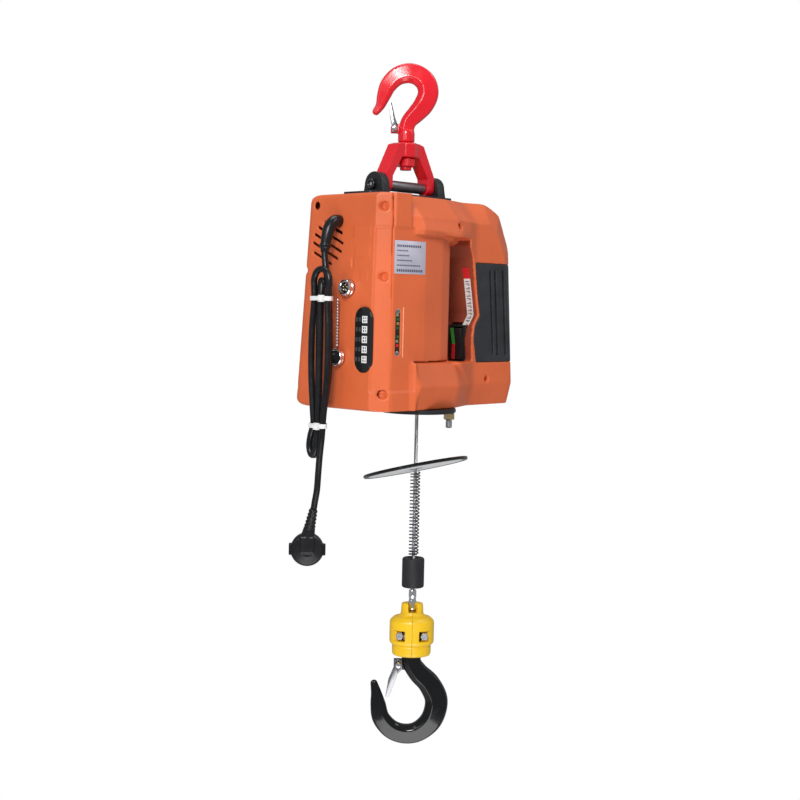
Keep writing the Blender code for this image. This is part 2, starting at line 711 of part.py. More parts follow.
def make_hook_cover():
    """Two plastic halves that meet in front, held by two bolts."""
    outer = [(0, -690), (22, -690), (23.5, -687), (23.5, -676), (27, -673), (27, -645)]
    outer += [(22, -640), (13.5, -637), (13, -626), (0, -626)]
    whole = lathe("whole", outer, YELLOW, steps=32)
    whole.data.transform(Matrix.Diagonal((1, 0.8, 1, 1)))
    cavity = rod("cavity", 16, -681, -645, YELLOW, steps=28)
    bore = rod("bore", 5, -646, -620, YELLOW, steps=20)
    fuse(cavity, bore, rod("neck", 11.9, -700, -680, YELLOW, steps=28))
    cut(whole, cavity)
    far = 60
    for name, low, high, u in (("left", -far, -0.17, -15), ("right", 0.17, far, 15)):
        half = copy_of(whole, f"hook_cover_{name}")
        keep_inside(half, block("half", (low, -far, -700), (high, far, -600), YELLOW))
        cut(half, rod("pocket", 6, -40, -13.5, YELLOW, "Y", (u, -664)))
        turn_about(half, HOOK_TURN, ROPE_XY)
    bpy.data.objects.remove(whole)
    for name, u in (("left", -15), ("right", 15)):
        make_cover_bolt(f"cover_bolt_{name}", u)


def make_cover_bolt(name, u):
    """A hexagon bolt head in its pocket in one half of the cover."""
    bolt = rod(name, 5, -17.3, -13.5 - GAP, STEEL, "Y", (u, -664), 6)
    turn_about(bolt, HOOK_TURN, ROPE_XY)


def make_load_hook():
    bowl = [(0, -683, 11), (0, -692, 11.4), (2, -702, 11.6), (10, -713, 12.5), (23, -726, 13.5)]
    bowl += [(32, -746, 14), (27, -769, 13.5), (12, -784, 12.4), (-5, -788, 12), (-22, -783, 11.6)]
    bowl += [(-35, -769, 10.8), (-39, -752, 9.4), (-41.5, -738, 6.6), (-44.5, -726, 4.4)]
    hook = forged_hook("load_hook", bowl, ROPE_XY, BLACK_METAL)
    shank = rod("shank", 8, -656, -684, BLACK_METAL, centre=ROPE_XY)
    lug = hook_prism("lug", [(-21, -707), (-4, -709), (-4, -694), (-19, -696)], 4, BLACK_METAL, ROPE_XY)
    fuse(hook, shank, lug)
    cut(hook, hook_pin("bore", *LOAD_PIVOT, 2.8, 12, STEEL, ROPE_XY))
    nut = hex_nut("load_hook_nut", 8.3, 14, -670, -658, STEEL, ROPE_XY)
    pin = hook_pin("load_latch_rivet", *LOAD_PIVOT, 2.5, 8, STEEL, ROPE_XY, head=5)
    latch = hook_prism("load_hook_latch", latch_outline(), 6.2, CHROME, ROPE_XY)
    slot = hook_prism("slot", [(-35, -712), (0, -712), (0, -690), (-35, -690)], 4.4, CHROME, ROPE_XY)
    cut(latch, slot, hook_pin("bore", *LOAD_PIVOT, 2.8, 12, STEEL, ROPE_XY))
    for obj in (hook, nut, pin):
        origin_to(obj, (*ROPE_XY, -690))
    origin_to(latch, along_hook(*LOAD_PIVOT, 0, ROPE_XY))


def latch_outline():
    """The load hook's latch, from round its rivet to the inner side of the hook's tip."""
    outline = [(-21, -696), (-11, -696), (-11, -707), (-16, -713)]
    return outline + [(-26, -741), (-30, -742), (-27, -722), (-21, -707)]


# ---------------------------------------------------------------- mains lead


def make_cord():
    y, z = CORD_HOLE
    boot = [(-101.6, y, z, 7.4), (-108, y, z - 0.8, 7.6), (-114.5, y, z - 6, 7.4)]
    boot += [(-118.5, y + 0.3, z - 15, 6.9), (-120.6, y + 0.8, z - 25, 6.4), (-121.6, 9, -202, 5.6)]
    boot += [(-122, 9, -207, 5.2)]
    samples = [(-95, y, z, 5.6), (-101.3, y, z, 5.6)] + smooth_path(boot, 18)
    meshed(tube("cord_boot", samples, 1.0, RUBBER, 4, [s[3] for s in samples]))
    lead = [(-122, 9, -207.4), (-122.6, 9, -210.5), (-124, 8.7, -215), (-125.8, 8.4, -219.5)]
    tube("cord_lead", smooth_path(lead, 5), CORD_R, RUBBER, 3)
    prism("cord_hank", stadium(HANK_YZ, HANK_WIDTH, 228, 10), "X", *HANK_X, RUBBER)
    make_cable_tie("cable_tie_upper", -260)
    make_cable_tie("cable_tie_lower", -407)
    tail = [(-127, 8, -450.4), (-127, 7.6, -465), (-127, 9.2, -485), (-127, 12.6, -499)]
    tail += [(-127, 13.7, -503.9)]
    tube("cord_tail", smooth_path(tail, 8), CORD_R, RUBBER, 3)
    make_plug()


def make_cable_tie(name, height):
    """A square band round the hank."""
    thick = 1.3
    middle = HANK_YZ[0]
    half = HANK_WIDTH / 2 + GAP
    low_x, high_x = HANK_X[0] - GAP, HANK_X[1] + GAP
    low = (low_x - thick, middle - half - thick, height - 3.5)
    high = (high_x + thick, middle + half + thick, height + 3.5)
    tie = block(name, low, high, WHITE)
    cut(tie, block("inside", (low_x, middle - half, -500), (high_x, middle + half, -200), WHITE))


def make_plug():
    """A round mains plug whose lead enters from the side."""
    x, y, z = PLUG_CENTRE
    profile = [(0, -8), (17, -8), (19.5, -6), (19.5, 5), (16, 8), (0, 8)]
    body = lathe("plug_body", profile, RUBBER, axis=PLUG_AXIS, origin=PLUG_CENTRE)
    neck = tube("neck", [(x, y - 0.4, z + 13), (x, 14, -504.6)], 6.5, RUBBER, 3)
    fuse(body, meshed(neck))
    across = Vector((0, 0, 1)).cross(PLUG_AXIS)
    for name, side in (("left", -9.5), ("right", 9.5)):
        base = Vector(PLUG_CENTRE) + across * side - PLUG_AXIS * 8.3
        profile = [(0, 0), (2.4, 0), (2.4, 18), (1.6, 19), (0, 19)]
        lathe(f"plug_pin_{name}", profile, BRASS, steps=14, axis=-PLUG_AXIS, origin=base)


for startup_object in list(bpy.data.objects):
    bpy.data.objects.remove(startup_object)

ORANGE = material("orange_nylon", (0.75, 0.17, 0.045), 0.5)
RED = material("red_enamel", (0.7, 0.01, 0.02), 0.3)
BLACK = material("black_plastic", (0.02, 0.02, 0.02), 0.5)
RUBBER = material("black_rubber", (0.025, 0.025, 0.027), 0.7)
BLACK_METAL = material("black_steel", (0.03, 0.03, 0.033), 0.4, 0.6)
STEEL = material("steel", (0.55, 0.55, 0.56), 0.35, 1.0)
ROPE = material("wire_rope", (0.5, 0.5, 0.5), 0.45, 1.0)
CHROME = material("chrome", (0.8, 0.8, 0.82), 0.12, 1.0)
BRASS = material("brass", (0.75, 0.55, 0.25), 0.3, 1.0)
COPPER = material("copper", (0.7, 0.35, 0.2), 0.35, 1.0)
YELLOW = material("yellow_nylon", (0.85, 0.62, 0.03), 0.4)
GREEN = material("green_plastic", (0.05, 0.5, 0.12), 0.4)
WHITE = material("white_nylon", (0.85, 0.85, 0.83), 0.5)

make_top_hook()
make_bail()
make_ears()
make_casing()
make_switch()
make_end_fittings()
make_drum()
make_gear_train()
make_motor()
make_frame()
make_electrics()
make_rope_exit()
make_rope()
make_limit_plate()
make_spring()
make_bumper()
make_hook_cover()
make_load_hook()
make_cord()
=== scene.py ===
"""Looks of the electric wire rope hoist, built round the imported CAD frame."""
import json
import math

import bmesh
import bpy
from mathutils import Matrix, Vector


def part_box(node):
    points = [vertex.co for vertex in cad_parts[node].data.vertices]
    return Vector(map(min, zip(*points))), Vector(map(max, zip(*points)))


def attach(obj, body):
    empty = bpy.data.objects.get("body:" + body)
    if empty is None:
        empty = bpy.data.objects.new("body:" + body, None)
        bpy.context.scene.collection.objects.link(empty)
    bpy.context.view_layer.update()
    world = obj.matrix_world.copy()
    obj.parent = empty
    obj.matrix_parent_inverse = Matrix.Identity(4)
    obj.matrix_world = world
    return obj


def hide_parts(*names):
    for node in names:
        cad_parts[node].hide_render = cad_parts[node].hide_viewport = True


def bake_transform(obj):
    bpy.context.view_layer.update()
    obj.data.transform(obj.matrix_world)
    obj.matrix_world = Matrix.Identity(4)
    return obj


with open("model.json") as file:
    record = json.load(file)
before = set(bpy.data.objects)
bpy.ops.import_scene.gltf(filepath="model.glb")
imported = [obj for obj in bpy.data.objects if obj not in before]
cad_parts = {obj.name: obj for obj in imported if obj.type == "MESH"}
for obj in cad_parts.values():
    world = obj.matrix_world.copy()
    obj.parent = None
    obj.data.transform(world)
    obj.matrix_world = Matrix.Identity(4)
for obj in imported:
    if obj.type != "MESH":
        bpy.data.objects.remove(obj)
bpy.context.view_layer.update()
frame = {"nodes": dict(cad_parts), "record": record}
NODES = frame["nodes"]

MM = 0.001
RELAX_FACTOR = 0.5
WELD = 1e-6
HOOK_TURN = math.radians(-45)
HOOK_U = Vector((math.cos(HOOK_TURN), math.sin(HOOK_TURN), 0))
HOOK_N = Vector((math.sin(HOOK_TURN), -math.cos(HOOK_TURN), 0))
ROPE_XY = (0, -28)
PIN_Z = -124

# The camera looks at the end cover and the front, a little down, with a slight roll.
CAMERA_AZIMUTH = math.radians(-46)
CAMERA_ELEVATION = math.radians(3.8)
CAMERA_ROLL = math.radians(1.3)
CAMERA_TARGET = Vector((-0.011, -0.010, -0.380))
CAMERA_DISTANCE = 1.75
CAMERA_LENS = 65.25
AMBIENT = 0.3
FLOOR_R = 3400
FLOOR_Z = -2150


# ---- materials


class Nodes:
    """A short way to add and link shader nodes."""

    def __init__(self, name, colour, roughness, metallic=0.0):
        self.material = bpy.data.materials.new(name)
        self.material.use_nodes = True
        self.tree = self.material.node_tree
        self.shader = self.tree.nodes["Principled BSDF"]
        self.shader.inputs["Base Color"].default_value = (*colour, 1)
        self.shader.inputs["Roughness"].default_value = roughness
        self.shader.inputs["Metallic"].default_value = metallic
        self.colour = colour
        self.place = self.add("ShaderNodeTexCoord").outputs["Object"]
        self.height = None

    def add(self, kind, **values):
        node = self.tree.nodes.new(kind)
        for key, value in values.items():
            setattr(node, key, value)
        return node

    def link(self, a, b):
        self.tree.links.new(a, b)

    def noise(self, scale, detail=3.0, roughness=0.55, stretch=None):
        node = self.add("ShaderNodeTexNoise")
        node.inputs["Scale"].default_value = scale
        node.inputs["Detail"].default_value = detail
        node.inputs["Roughness"].default_value = roughness
        source = self.place
        if stretch:
            mapping = self.add("ShaderNodeMapping")
            mapping.inputs["Scale"].default_value = stretch
            self.link(self.place, mapping.inputs["Vector"])
            source = mapping.outputs["Vector"]
        self.link(source, node.inputs["Vector"])
        return node.outputs["Fac"]

    def ramp(self, factor, low, high, start=0.0, end=1.0):
        node = self.add("ShaderNodeMapRange")
        node.inputs["From Min"].default_value = low
        node.inputs["From Max"].default_value = high
        node.inputs["To Min"].default_value = start
        node.inputs["To Max"].default_value = end
        self.link(factor, node.inputs["Value"])
        return node.outputs["Result"]

    def mix(self, factor, first, second):
        """Mixes two colours. Each is a colour or a socket."""
        node = self.add("ShaderNodeMix", data_type="RGBA")
        self.link(factor, node.inputs["Factor"])
        for value, place in ((first, "A"), (second, "B")):
            socket = [s for s in node.inputs if s.name == place and s.type == "RGBA"][0]
            if isinstance(value, bpy.types.NodeSocket):
                self.link(value, socket)
            else:
                socket.default_value = (*value, 1)
        return [s for s in node.outputs if s.type == "RGBA"][0]

    def bump(self, height, strength, distance):
        node = self.add("ShaderNodeBump")
        node.inputs["Strength"].default_value = strength
        node.inputs["Distance"].default_value = distance
        self.link(height, node.inputs["Height"])
        if self.height:
            self.link(self.height, node.inputs["Normal"])
        self.height = node.outputs["Normal"]
        self.link(self.height, self.shader.inputs["Normal"])

    def vary(self, scale, amount, darker=0.8, lighter=1.15):
        """Lets the base colour drift a little over the surface."""
        factor = self.ramp(self.noise(scale, 5), 0.5 - amount, 0.5 + amount)
        dark = [c * darker for c in self.colour]
        light = [min(1, c * lighter) for c in self.colour]
        self.link(self.mix(factor, dark, light), self.shader.inputs["Base Color"])

    def rough(self, scale, low, high, stretch=None):
        factor = self.ramp(self.noise(scale, 4, 0.6, stretch), 0.3, 0.7, low, high)
        self.link(factor, self.shader.inputs["Roughness"])

    def set(self, name, value):
        self.shader.inputs[name].default_value = value


def moulded(name, colour, roughness, grain=900, depth=0.00006, specular=0.4):
    """Injection moulded plastic: a fine spark-eroded grain with faint flow marks and handling wear."""
    n = Nodes(name, colour, roughness)
    n.set("Specular IOR Level", specular)
    n.vary(14, 0.25, 0.9, 1.08)
    n.rough(60, roughness - 0.07, roughness + 0.08)
    n.bump(n.noise(grain, 2), 0.35, depth)
    n.bump(n.noise(22, 3), 0.12, 0.0004)
    return n.material


def enamel(name, colour, roughness, coat=0.35):
    """Thick paint on a forging: soft orange peel, small pits and a clear top."""
    n = Nodes(name, colour, roughness)
    n.set("Coat Weight", coat)
    n.set("Coat Roughness", 0.12)
    n.vary(30, 0.3, 0.85, 1.06)
    n.rough(80, roughness - 0.06, roughness + 0.1)
    n.bump(n.noise(140, 2), 0.12, 0.0002)
    n.bump(n.noise(1200, 2), 0.1, 0.00004)
    return n.material


def metal(name, colour, roughness, stretch=(1, 1, 1), scale=400, metallic=1.0, depth=0.00005):
    n = Nodes(name, colour, roughness, metallic)
    n.vary(50, 0.3, 0.85, 1.1)
    n.rough(scale / 4, max(0.03, roughness - 0.08), roughness + 0.1, stretch)
    n.bump(n.noise(scale, 4, 0.6, stretch), 0.3, depth)
    return n.material


def black_coat(name, roughness=0.42, metallic=0.3):
    """Black satin coating with a slightly cast skin."""
    n = Nodes(name, (0.022, 0.023, 0.026), roughness, metallic)
    n.vary(40, 0.3, 0.7, 1.6)
    n.rough(120, roughness - 0.1, roughness + 0.12)
    n.bump(n.noise(500, 4), 0.35, 0.00012)
    return n.material


def rubber(name, colour=(0.028, 0.029, 0.033), roughness=0.62):
    n = Nodes(name, colour, roughness)
    n.set("Specular IOR Level", 0.35)
    n.vary(35, 0.25, 0.75, 1.5)
    n.rough(90, roughness - 0.1, roughness + 0.1)
    n.bump(n.noise(1500, 2), 0.4, 0.00006)
    return n.material


ORANGE = moulded("orange_nylon", (0.7, 0.135, 0.042), 0.4)
# A darker, matt copy of the orange nylon: painted shade for the hand gap's walls.
ORANGE_PAINTED_SHADE = moulded("orange_nylon_painted_shade", (0.3, 0.06, 0.028), 0.6)
# A lighter, pinker copy of the orange nylon: a painted highlight for the rib beside the board slot.
ORANGE_RIB_PAINTED_HIGHLIGHT = moulded("orange_nylon_rib_painted_highlight", (0.85, 0.4, 0.26), 0.4)
RED = enamel("red_enamel", (0.78, 0.008, 0.02), 0.18)
BLACK_METAL = black_coat("black_steel")
BLACK = moulded("black_plastic", (0.016, 0.017, 0.018), 0.42, 1200)
RUBBER = rubber("black_rubber", (0.016, 0.016, 0.018), 0.5)
JACKET = rubber("cord_jacket", (0.008, 0.008, 0.009), 0.24)
GRIP = rubber("grip_rubber", (0.022, 0.023, 0.026), 0.5)
STEEL = metal("bright_steel", (0.6, 0.6, 0.62), 0.28)
ROLLER = metal("grey_roller", (0.25, 0.24, 0.25), 0.42, (0.05, 1, 1), 600)
CHROME = metal("chrome", (0.85, 0.85, 0.87), 0.1, scale=200, depth=0.00002)
BRASS = metal("brass", (0.8, 0.6, 0.3), 0.22, (1, 1, 0.05))
COPPER = metal("copper_winding", (0.7, 0.33, 0.18), 0.35, (0.05, 1, 1))
WIRE = metal("galvanised_wire", (0.62, 0.63, 0.65), 0.35, (1, 1, 0.3), 1500)
YELLOW = moulded("yellow_nylon", (0.9, 0.55, 0.012), 0.3, 700, 0.00005, 0.5)
WHITE = moulded("white_nylon", (0.82, 0.82, 0.8), 0.35)
GREEN = moulded("green_plastic", (0.05, 0.62, 0.1), 0.3)
LAMP = moulded("lamp_lens", (0.22, 0.26, 0.16), 0.2)
GREEN_PART = moulded("green_part", (0.02, 0.13, 0.05), 0.3)
GLOSS_BLACK = enamel("black_enamel", (0.002, 0.002, 0.0025), 0.1, 0.1)
SPRING = metal("spring_steel", (0.1, 0.1, 0.11), 0.3, (1, 1, 1), 300)
DARK_STEEL = metal("dark_steel", (0.12, 0.12, 0.13), 0.25)
LATCH_STEEL = metal("latch_steel", (0.3, 0.3, 0.31), 0.22, (1, 1, 0.2), 500)
WINDOW = moulded("window_film", (0.012, 0.013, 0.014), 0.2, 300, 0.00002)
INK_WHITE = moulded("white_ink", (0.8, 0.8, 0.78), 0.5)
INK_GREY = moulded("grey_ink", (0.05, 0.055, 0.055), 0.45)
PLATE_FACE = moulded("white_plate_face", (0.8, 0.8, 0.8), 0.4)
SWITCH_RED = moulded("red_plastic", (0.75, 0.03, 0.03), 0.35)
BOARD = moulded("circuit_board", (0.006, 0.03, 0.012), 0.35)
LABEL = metal("silver_label", (0.62, 0.6, 0.7), 0.38, (1, 1, 1), 300, 0.35, 0.00002)
PRINT = moulded("dark_print", (0.05, 0.045, 0.09), 0.5)
STICKER_RED = moulded("sticker_red", (0.7, 0.025, 0.03), 0.4)
STICKER_WHITE = moulded("sticker_white", (0.85, 0.83, 0.8), 0.4)


# ---- mesh tools, in millimetres


def shade(obj, angle=32):
    obj.data.shade_smooth()
    obj.data.set_sharp_from_angle(angle=math.radians(angle))
    return obj


def link_mesh(name, mesh, mat):
    obj = bpy.data.objects.new(name, mesh)
    bpy.context.scene.collection.objects.link(obj)
    return shade(one_material(obj, mat))


def from_bmesh(name, bm, mat):
    bmesh.ops.recalc_face_normals(bm, faces=bm.faces)
    bmesh.ops.scale(bm, vec=(MM, MM, MM), verts=bm.verts)
    mesh = bpy.data.meshes.new(name)
    bm.to_mesh(mesh)
    bm.free()
    return link_mesh(name, mesh, mat)


AXIS_PLACES = {
    "X": lambda a, b, h: (h, a, b),
    "Y": lambda a, b, h: (a, h, b),
    "Z": lambda a, b, h: (a, b, h),
}


def circle(centre, radius, steps=48, start=0.0, sweep=360.0):
    count = steps if abs(sweep) >= 360 else steps + 1
    angles = [math.radians(start + sweep * i / steps) for i in range(count)]
    return [(centre[0] + radius * math.cos(a), centre[1] + radius * math.sin(a)) for a in angles]


def prism(name, outline, axis, low, high, mat, bevel=0.0, segments=2):
    bm = bmesh.new()
    place = AXIS_PLACES[axis]
    face = bm.faces.new([bm.verts.new(place(a, b, low)) for a, b in outline])
    moved = bmesh.ops.extrude_face_region(bm, geom=[face])["geom"]
    shift = Vector(place(0, 0, high - low))
    bmesh.ops.translate(bm, vec=shift, verts=[v for v in moved if isinstance(v, bmesh.types.BMVert)])
    if bevel:
        soften(bm, bevel, segments)
    return from_bmesh(name, bm, mat)


def soften(bm, width, segments=2, least=28):
    """Bevels the edges that turn more than the least angle."""
    bmesh.ops.recalc_face_normals(bm, faces=bm.faces)
    limit = math.radians(least)
    edges = [e for e in bm.edges if len(e.link_faces) == 2 and e.calc_face_angle() > limit]
    bmesh.ops.bevel(
        bm, geom=edges, offset=width, segments=segments, profile=0.5, affect="EDGES", clamp_overlap=True
    )


def block(name, low, high, mat, bevel=0.0):
    outline = [(low[0], low[1]), (high[0], low[1]), (high[0], high[1]), (low[0], high[1])]
    return prism(name, outline, "Z", low[2], high[2], mat, bevel)


def lathe(name, profile, mat, centre=(0, 0), steps=72, axis=None, origin=None):
    """Turns a closed (radius, height) profile about Z, or about an axis through an origin."""
    bm = bmesh.new()
    rings = []
    for radius, height in profile:
        if radius < 0.001:
            rings.append([bm.verts.new((0, 0, height))])
        else:
            rings.append([bm.verts.new((x, y, height)) for x, y in circle((0, 0), radius, steps)])
    for i, ring in enumerate(rings):
        other = rings[(i + 1) % len(rings)]
        if len(ring) == 1 and len(other) == 1:
            continue
        for k in range(steps):
            n = (k + 1) % steps
            if len(ring) == 1:
                bm.faces.new([ring[0], other[k], other[n]])
            elif len(other) == 1:
                bm.faces.new([ring[k], ring[n], other[0]])
            else:
                bm.faces.new([ring[k], ring[n], other[n], other[k]])
    if axis is None:
        bmesh.ops.translate(bm, vec=(centre[0], centre[1], 0), verts=bm.verts)
    else:
        turn = Vector((0, 0, 1)).rotation_difference(Vector(axis)).to_matrix()
        bmesh.ops.transform(bm, matrix=turn.to_4x4(), verts=bm.verts)
        bmesh.ops.translate(bm, vec=origin, verts=bm.verts)
    return from_bmesh(name, bm, mat)


def rod(name, radius, low, high, mat, along="Z", centre=(0, 0), steps=48, bevel=0.0):
    return prism(name, circle(centre, radius, steps), along, low, high, mat, bevel)


def one_material(obj, mat):
    obj.data.materials.clear()
    obj.data.materials.append(mat)
    return obj


def applied(obj):
    """Turns the object's modifiers into its mesh."""
    graph = bpy.context.evaluated_depsgraph_get()
    mesh = bpy.data.meshes.new_from_object(obj.evaluated_get(graph))
    obj.modifiers.clear()
    obj.data = mesh
    return obj


def combine(obj, others, operation):
    mat = obj.data.materials[0]
    for other in others:
        modifier = obj.modifiers.new("boolean", "BOOLEAN")
        modifier.operation = operation
        modifier.object = other
        applied(obj)
        bpy.data.objects.remove(other)
    for polygon in one_material(obj, mat).data.polygons:
        polygon.material_index = 0
    return shade(obj)


def cut(obj, *cutters):
    return combine(obj, cutters, "DIFFERENCE")


def fuse(obj, *others):
    return combine(obj, others, "UNION")


def relax(obj, passes):
    """Evens out the mesh, after any modifier that it already has."""
    modifier = obj.modifiers.new("relax", "SMOOTH")
    modifier.factor = RELAX_FACTOR
    modifier.iterations = passes
    mat = obj.data.materials[0]
    one_material(applied(obj), mat).data.shade_smooth()
    return obj


def melted(obj, voxel, passes):
    """Remeshes in small voxels and relaxes them, so edges and inner corners turn soft as in a moulding."""
    remesh = obj.modifiers.new("remesh", "REMESH")
    remesh.mode = "VOXEL"
    remesh.voxel_size = voxel * 1 * MM
    return relax(obj, passes)


def copy_node(node, name, mat):
    """A welded copy of a CAD node's mesh, which leaves the node itself as it is."""
    obj = bpy.data.objects.new(name, NODES[node].data.copy())
    bpy.context.scene.collection.objects.link(obj)
    bm = bmesh.new()
    bm.from_mesh(obj.data)
    bmesh.ops.remove_doubles(bm, verts=bm.verts, dist=WELD)
    bm.to_mesh(obj.data)
    bm.free()
    return one_material(obj, mat)


def smooth_path(points, count):
    """Catmull-Rom samples through points of any size."""
    spans = len(points) - 1
    first = [2 * a - b for a, b in zip(points[0], points[1])]
    last = [2 * a - b for a, b in zip(points[-1], points[-2])]
    knots = [first] + [list(p) for p in points] + [last]
    samples = []
    for i in range(count + 1):
        place = spans * i / count
        span = min(int(place), spans - 1)
        t = place - span
        samples.append([
            0.5 * (
                2 * q + (r - p) * t + (2 * p - 5 * q + 4 * r - s) * t * t + (3 * q - p - 3 * r + s) * t ** 3
            )
            for p, q, r, s in zip(*knots[span : span + 4])
        ])
    return samples


def tube(name, points, radius, mat, resolution=6, scales=None, as_mesh=True):
    curve = bpy.data.curves.new(name, "CURVE")
    curve.dimensions = "3D"
    curve.bevel_depth = radius * MM
    curve.bevel_resolution = resolution
    curve.use_fill_caps = True
    spline = curve.splines.new("POLY")
    spline.points.add(len(points) - 1)
    for i, point in enumerate(points):
        spline.points[i].co = (*[c * MM for c in point[:3]], 1)
        spline.points[i].radius = scales[i] if scales else 1
    curve.materials.append(mat)
    obj = bpy.data.objects.new(name, curve)
    bpy.context.scene.collection.objects.link(obj)
    if not as_mesh:
        return obj
    graph = bpy.context.evaluated_depsgraph_get()
    mesh = bpy.data.meshes.new_from_object(obj.evaluated_get(graph))
    bpy.data.objects.remove(obj)
    bm = bmesh.new()
    bm.from_mesh(mesh)
    bmesh.ops.remove_doubles(bm, verts=bm.verts, dist=WELD)
    bmesh.ops.recalc_face_normals(bm, faces=bm.faces)
    bm.to_mesh(mesh)
    bm.free()
    return link_mesh(name, mesh, mat)


def joined(name, parts):
    """One object from several, each part with its own material."""
    bm = bmesh.new()
    mats = []
    for part in parts:
        start = len(bm.faces)
        bm.from_mesh(part.data)
        used = part.data.materials[0]
        if used not in mats:
            mats.append(used)
        bm.faces.ensure_lookup_table()
        for face in bm.faces[start:]:
            face.material_index = mats.index(used)
        bpy.data.objects.remove(part)
    mesh = bpy.data.meshes.new(name)
    bm.to_mesh(mesh)
    bm.free()
    obj = bpy.data.objects.new(name, mesh)
    bpy.context.scene.collection.objects.link(obj)
    for used in mats:
        mesh.materials.append(used)
    return obj


def turn_about(obj, angle, centre):
    shift = Matrix.Translation((centre[0] * MM, centre[1] * MM, 0))
    obj.data.transform(shift @ Matrix.Rotation(angle, 4, "Z"))
    return obj


def along_hook(u, z, n=0.0, centre=(0, 0)):
    place = HOOK_U * u + HOOK_N * n
    return (place.x + centre[0], place.y + centre[1], z)


def placed(obj, place, degrees):
    """Turns a piece about Z and then moves it to its place."""
    obj.data.transform(Matrix.Translation(place * MM) @ Matrix.Rotation(math.radians(degrees), 4, "Z"))
    return obj


def hook_prism(name, outline, half_width, mat, centre=(0, 0), bevel=0.0):
    return turn_about(prism(name, outline, "Y", -half_width, half_width, mat, bevel), HOOK_TURN, centre)


def body_of(node):
    """The body that a CAD node rides on."""
    bodies = frame["record"]["behaviour"]["bodies"]
    return next(name for name, nodes in bodies.items() if node in nodes)


def done(obj, body, slot, *nodes):
    """Attaches the piece to the body that it rides on and hides the CAD nodes that it stands for. Its slot is
    not used.
    """
    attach(obj, body)
    if nodes:
        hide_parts(*nodes)
    return obj


# ---- camera and stage


def make_camera():
    back = Vector((
        math.sin(CAMERA_AZIMUTH) * math.cos(CAMERA_ELEVATION),
        -math.cos(CAMERA_AZIMUTH) * math.cos(CAMERA_ELEVATION),
        math.sin(CAMERA_ELEVATION),
    ))
    camera = bpy.data.cameras.new("camera")
    camera.lens = CAMERA_LENS
    camera.clip_start = 0.05
    camera.clip_end = 50
    obj = bpy.data.objects.new("camera", camera)
    obj.location = CAMERA_TARGET + back * CAMERA_DISTANCE
    obj.rotation_mode = "QUATERNION"
    roll = Matrix.Rotation(CAMERA_ROLL, 4, "Z").to_quaternion()
    obj.rotation_quaternion = (-back).to_track_quat("-Z", "Y") @ roll
    bpy.context.scene.collection.objects.link(obj)
    bpy.context.scene.camera = obj


def area_light(name, place, target, size, power):
    light = bpy.data.lights.new(name, "AREA")
    light.shape = "RECTANGLE"
    light.size, light.size_y = size
    light.energy = power
    obj = bpy.data.objects.new(name, light)
    obj.location = place
    obj.rotation_mode = "QUATERNION"
    obj.rotation_quaternion = (Vector(target) - Vector(place)).to_track_quat("-Z", "Y")
    bpy.context.scene.collection.objects.link(obj)


def make_world():
    """A white backdrop that lights the object more softly than it looks."""
    world = bpy.data.worlds.new("world")
    world.use_nodes = True
    tree = world.node_tree
    seen = tree.nodes["Background"]
    seen.inputs["Color"].default_value = (1, 1, 1, 1)
    seen.inputs["Strength"].default_value = 1.0
    lighting = tree.nodes.new("ShaderNodeBackground")
    lighting.inputs["Color"].default_value = (0.93, 0.96, 1, 1)
    lighting.inputs["Strength"].default_value = AMBIENT
    path = tree.nodes.new("ShaderNodeLightPath")
    mix = tree.nodes.new("ShaderNodeMixShader")
    tree.links.new(path.outputs["Is Camera Ray"], mix.inputs["Fac"])
    tree.links.new(lighting.outputs["Background"], mix.inputs[1])
    tree.links.new(seen.outputs["Background"], mix.inputs[2])
    tree.links.new(mix.outputs["Shader"], tree.nodes["World Output"].inputs["Surface"])
    bpy.context.scene.world = world


def make_stage():
    """A pale floor far below the hanging hoist and its lowered hook, with soft boxes round them."""
    bm = bmesh.new()
    bmesh.ops.create_circle(bm, cap_ends=True, segments=96, radius=FLOOR_R)
    bmesh.ops.translate(bm, vec=(0, 0, FLOOR_Z), verts=bm.verts)
    n = Nodes("pale_floor", (0.9, 0.9, 0.9), 0.9)
    n.vary(2, 0.3, 0.97, 1.0)
    from_bmesh("floor", bm, n.material)
    make_world()
    middle = (0, 0, -0.35)
    area_light("key", (-1.85, -1.3, 0.75), middle, (0.6, 0.9), 38)
    area_light("left_fill", (-2.2, -0.3, 0.5), middle, (0.6, 1.6), 6)
    area_light("rim", (1.6, -1.6, 1.0), middle, (0.3, 1.4), 5)
    area_light("front_top", (0.5, -1.6, 1.5), middle, (0.8, 0.6), 9)
    area_light("top", (0.1, 0.1, 1.9), middle, (1.2, 1.2), 15)
    area_light("under", (-0.9, -0.9, -1.7), middle, (1.2, 1.2), 13)
    bpy.context.scene.view_settings.view_transform = "Standard"


# ---- mains lead

CORD_R = 3.85
BOOT_EXIT = (8, -170)
CORD_EXIT = (-122, 9, -207)
HANK_BACK, HANK_FRONT = -122.6, -130.7  # the X of the hank's two layers
CORD_SAMPLES = 700
TIE_HEIGHTS = {"upper": -260, "lower": -407}


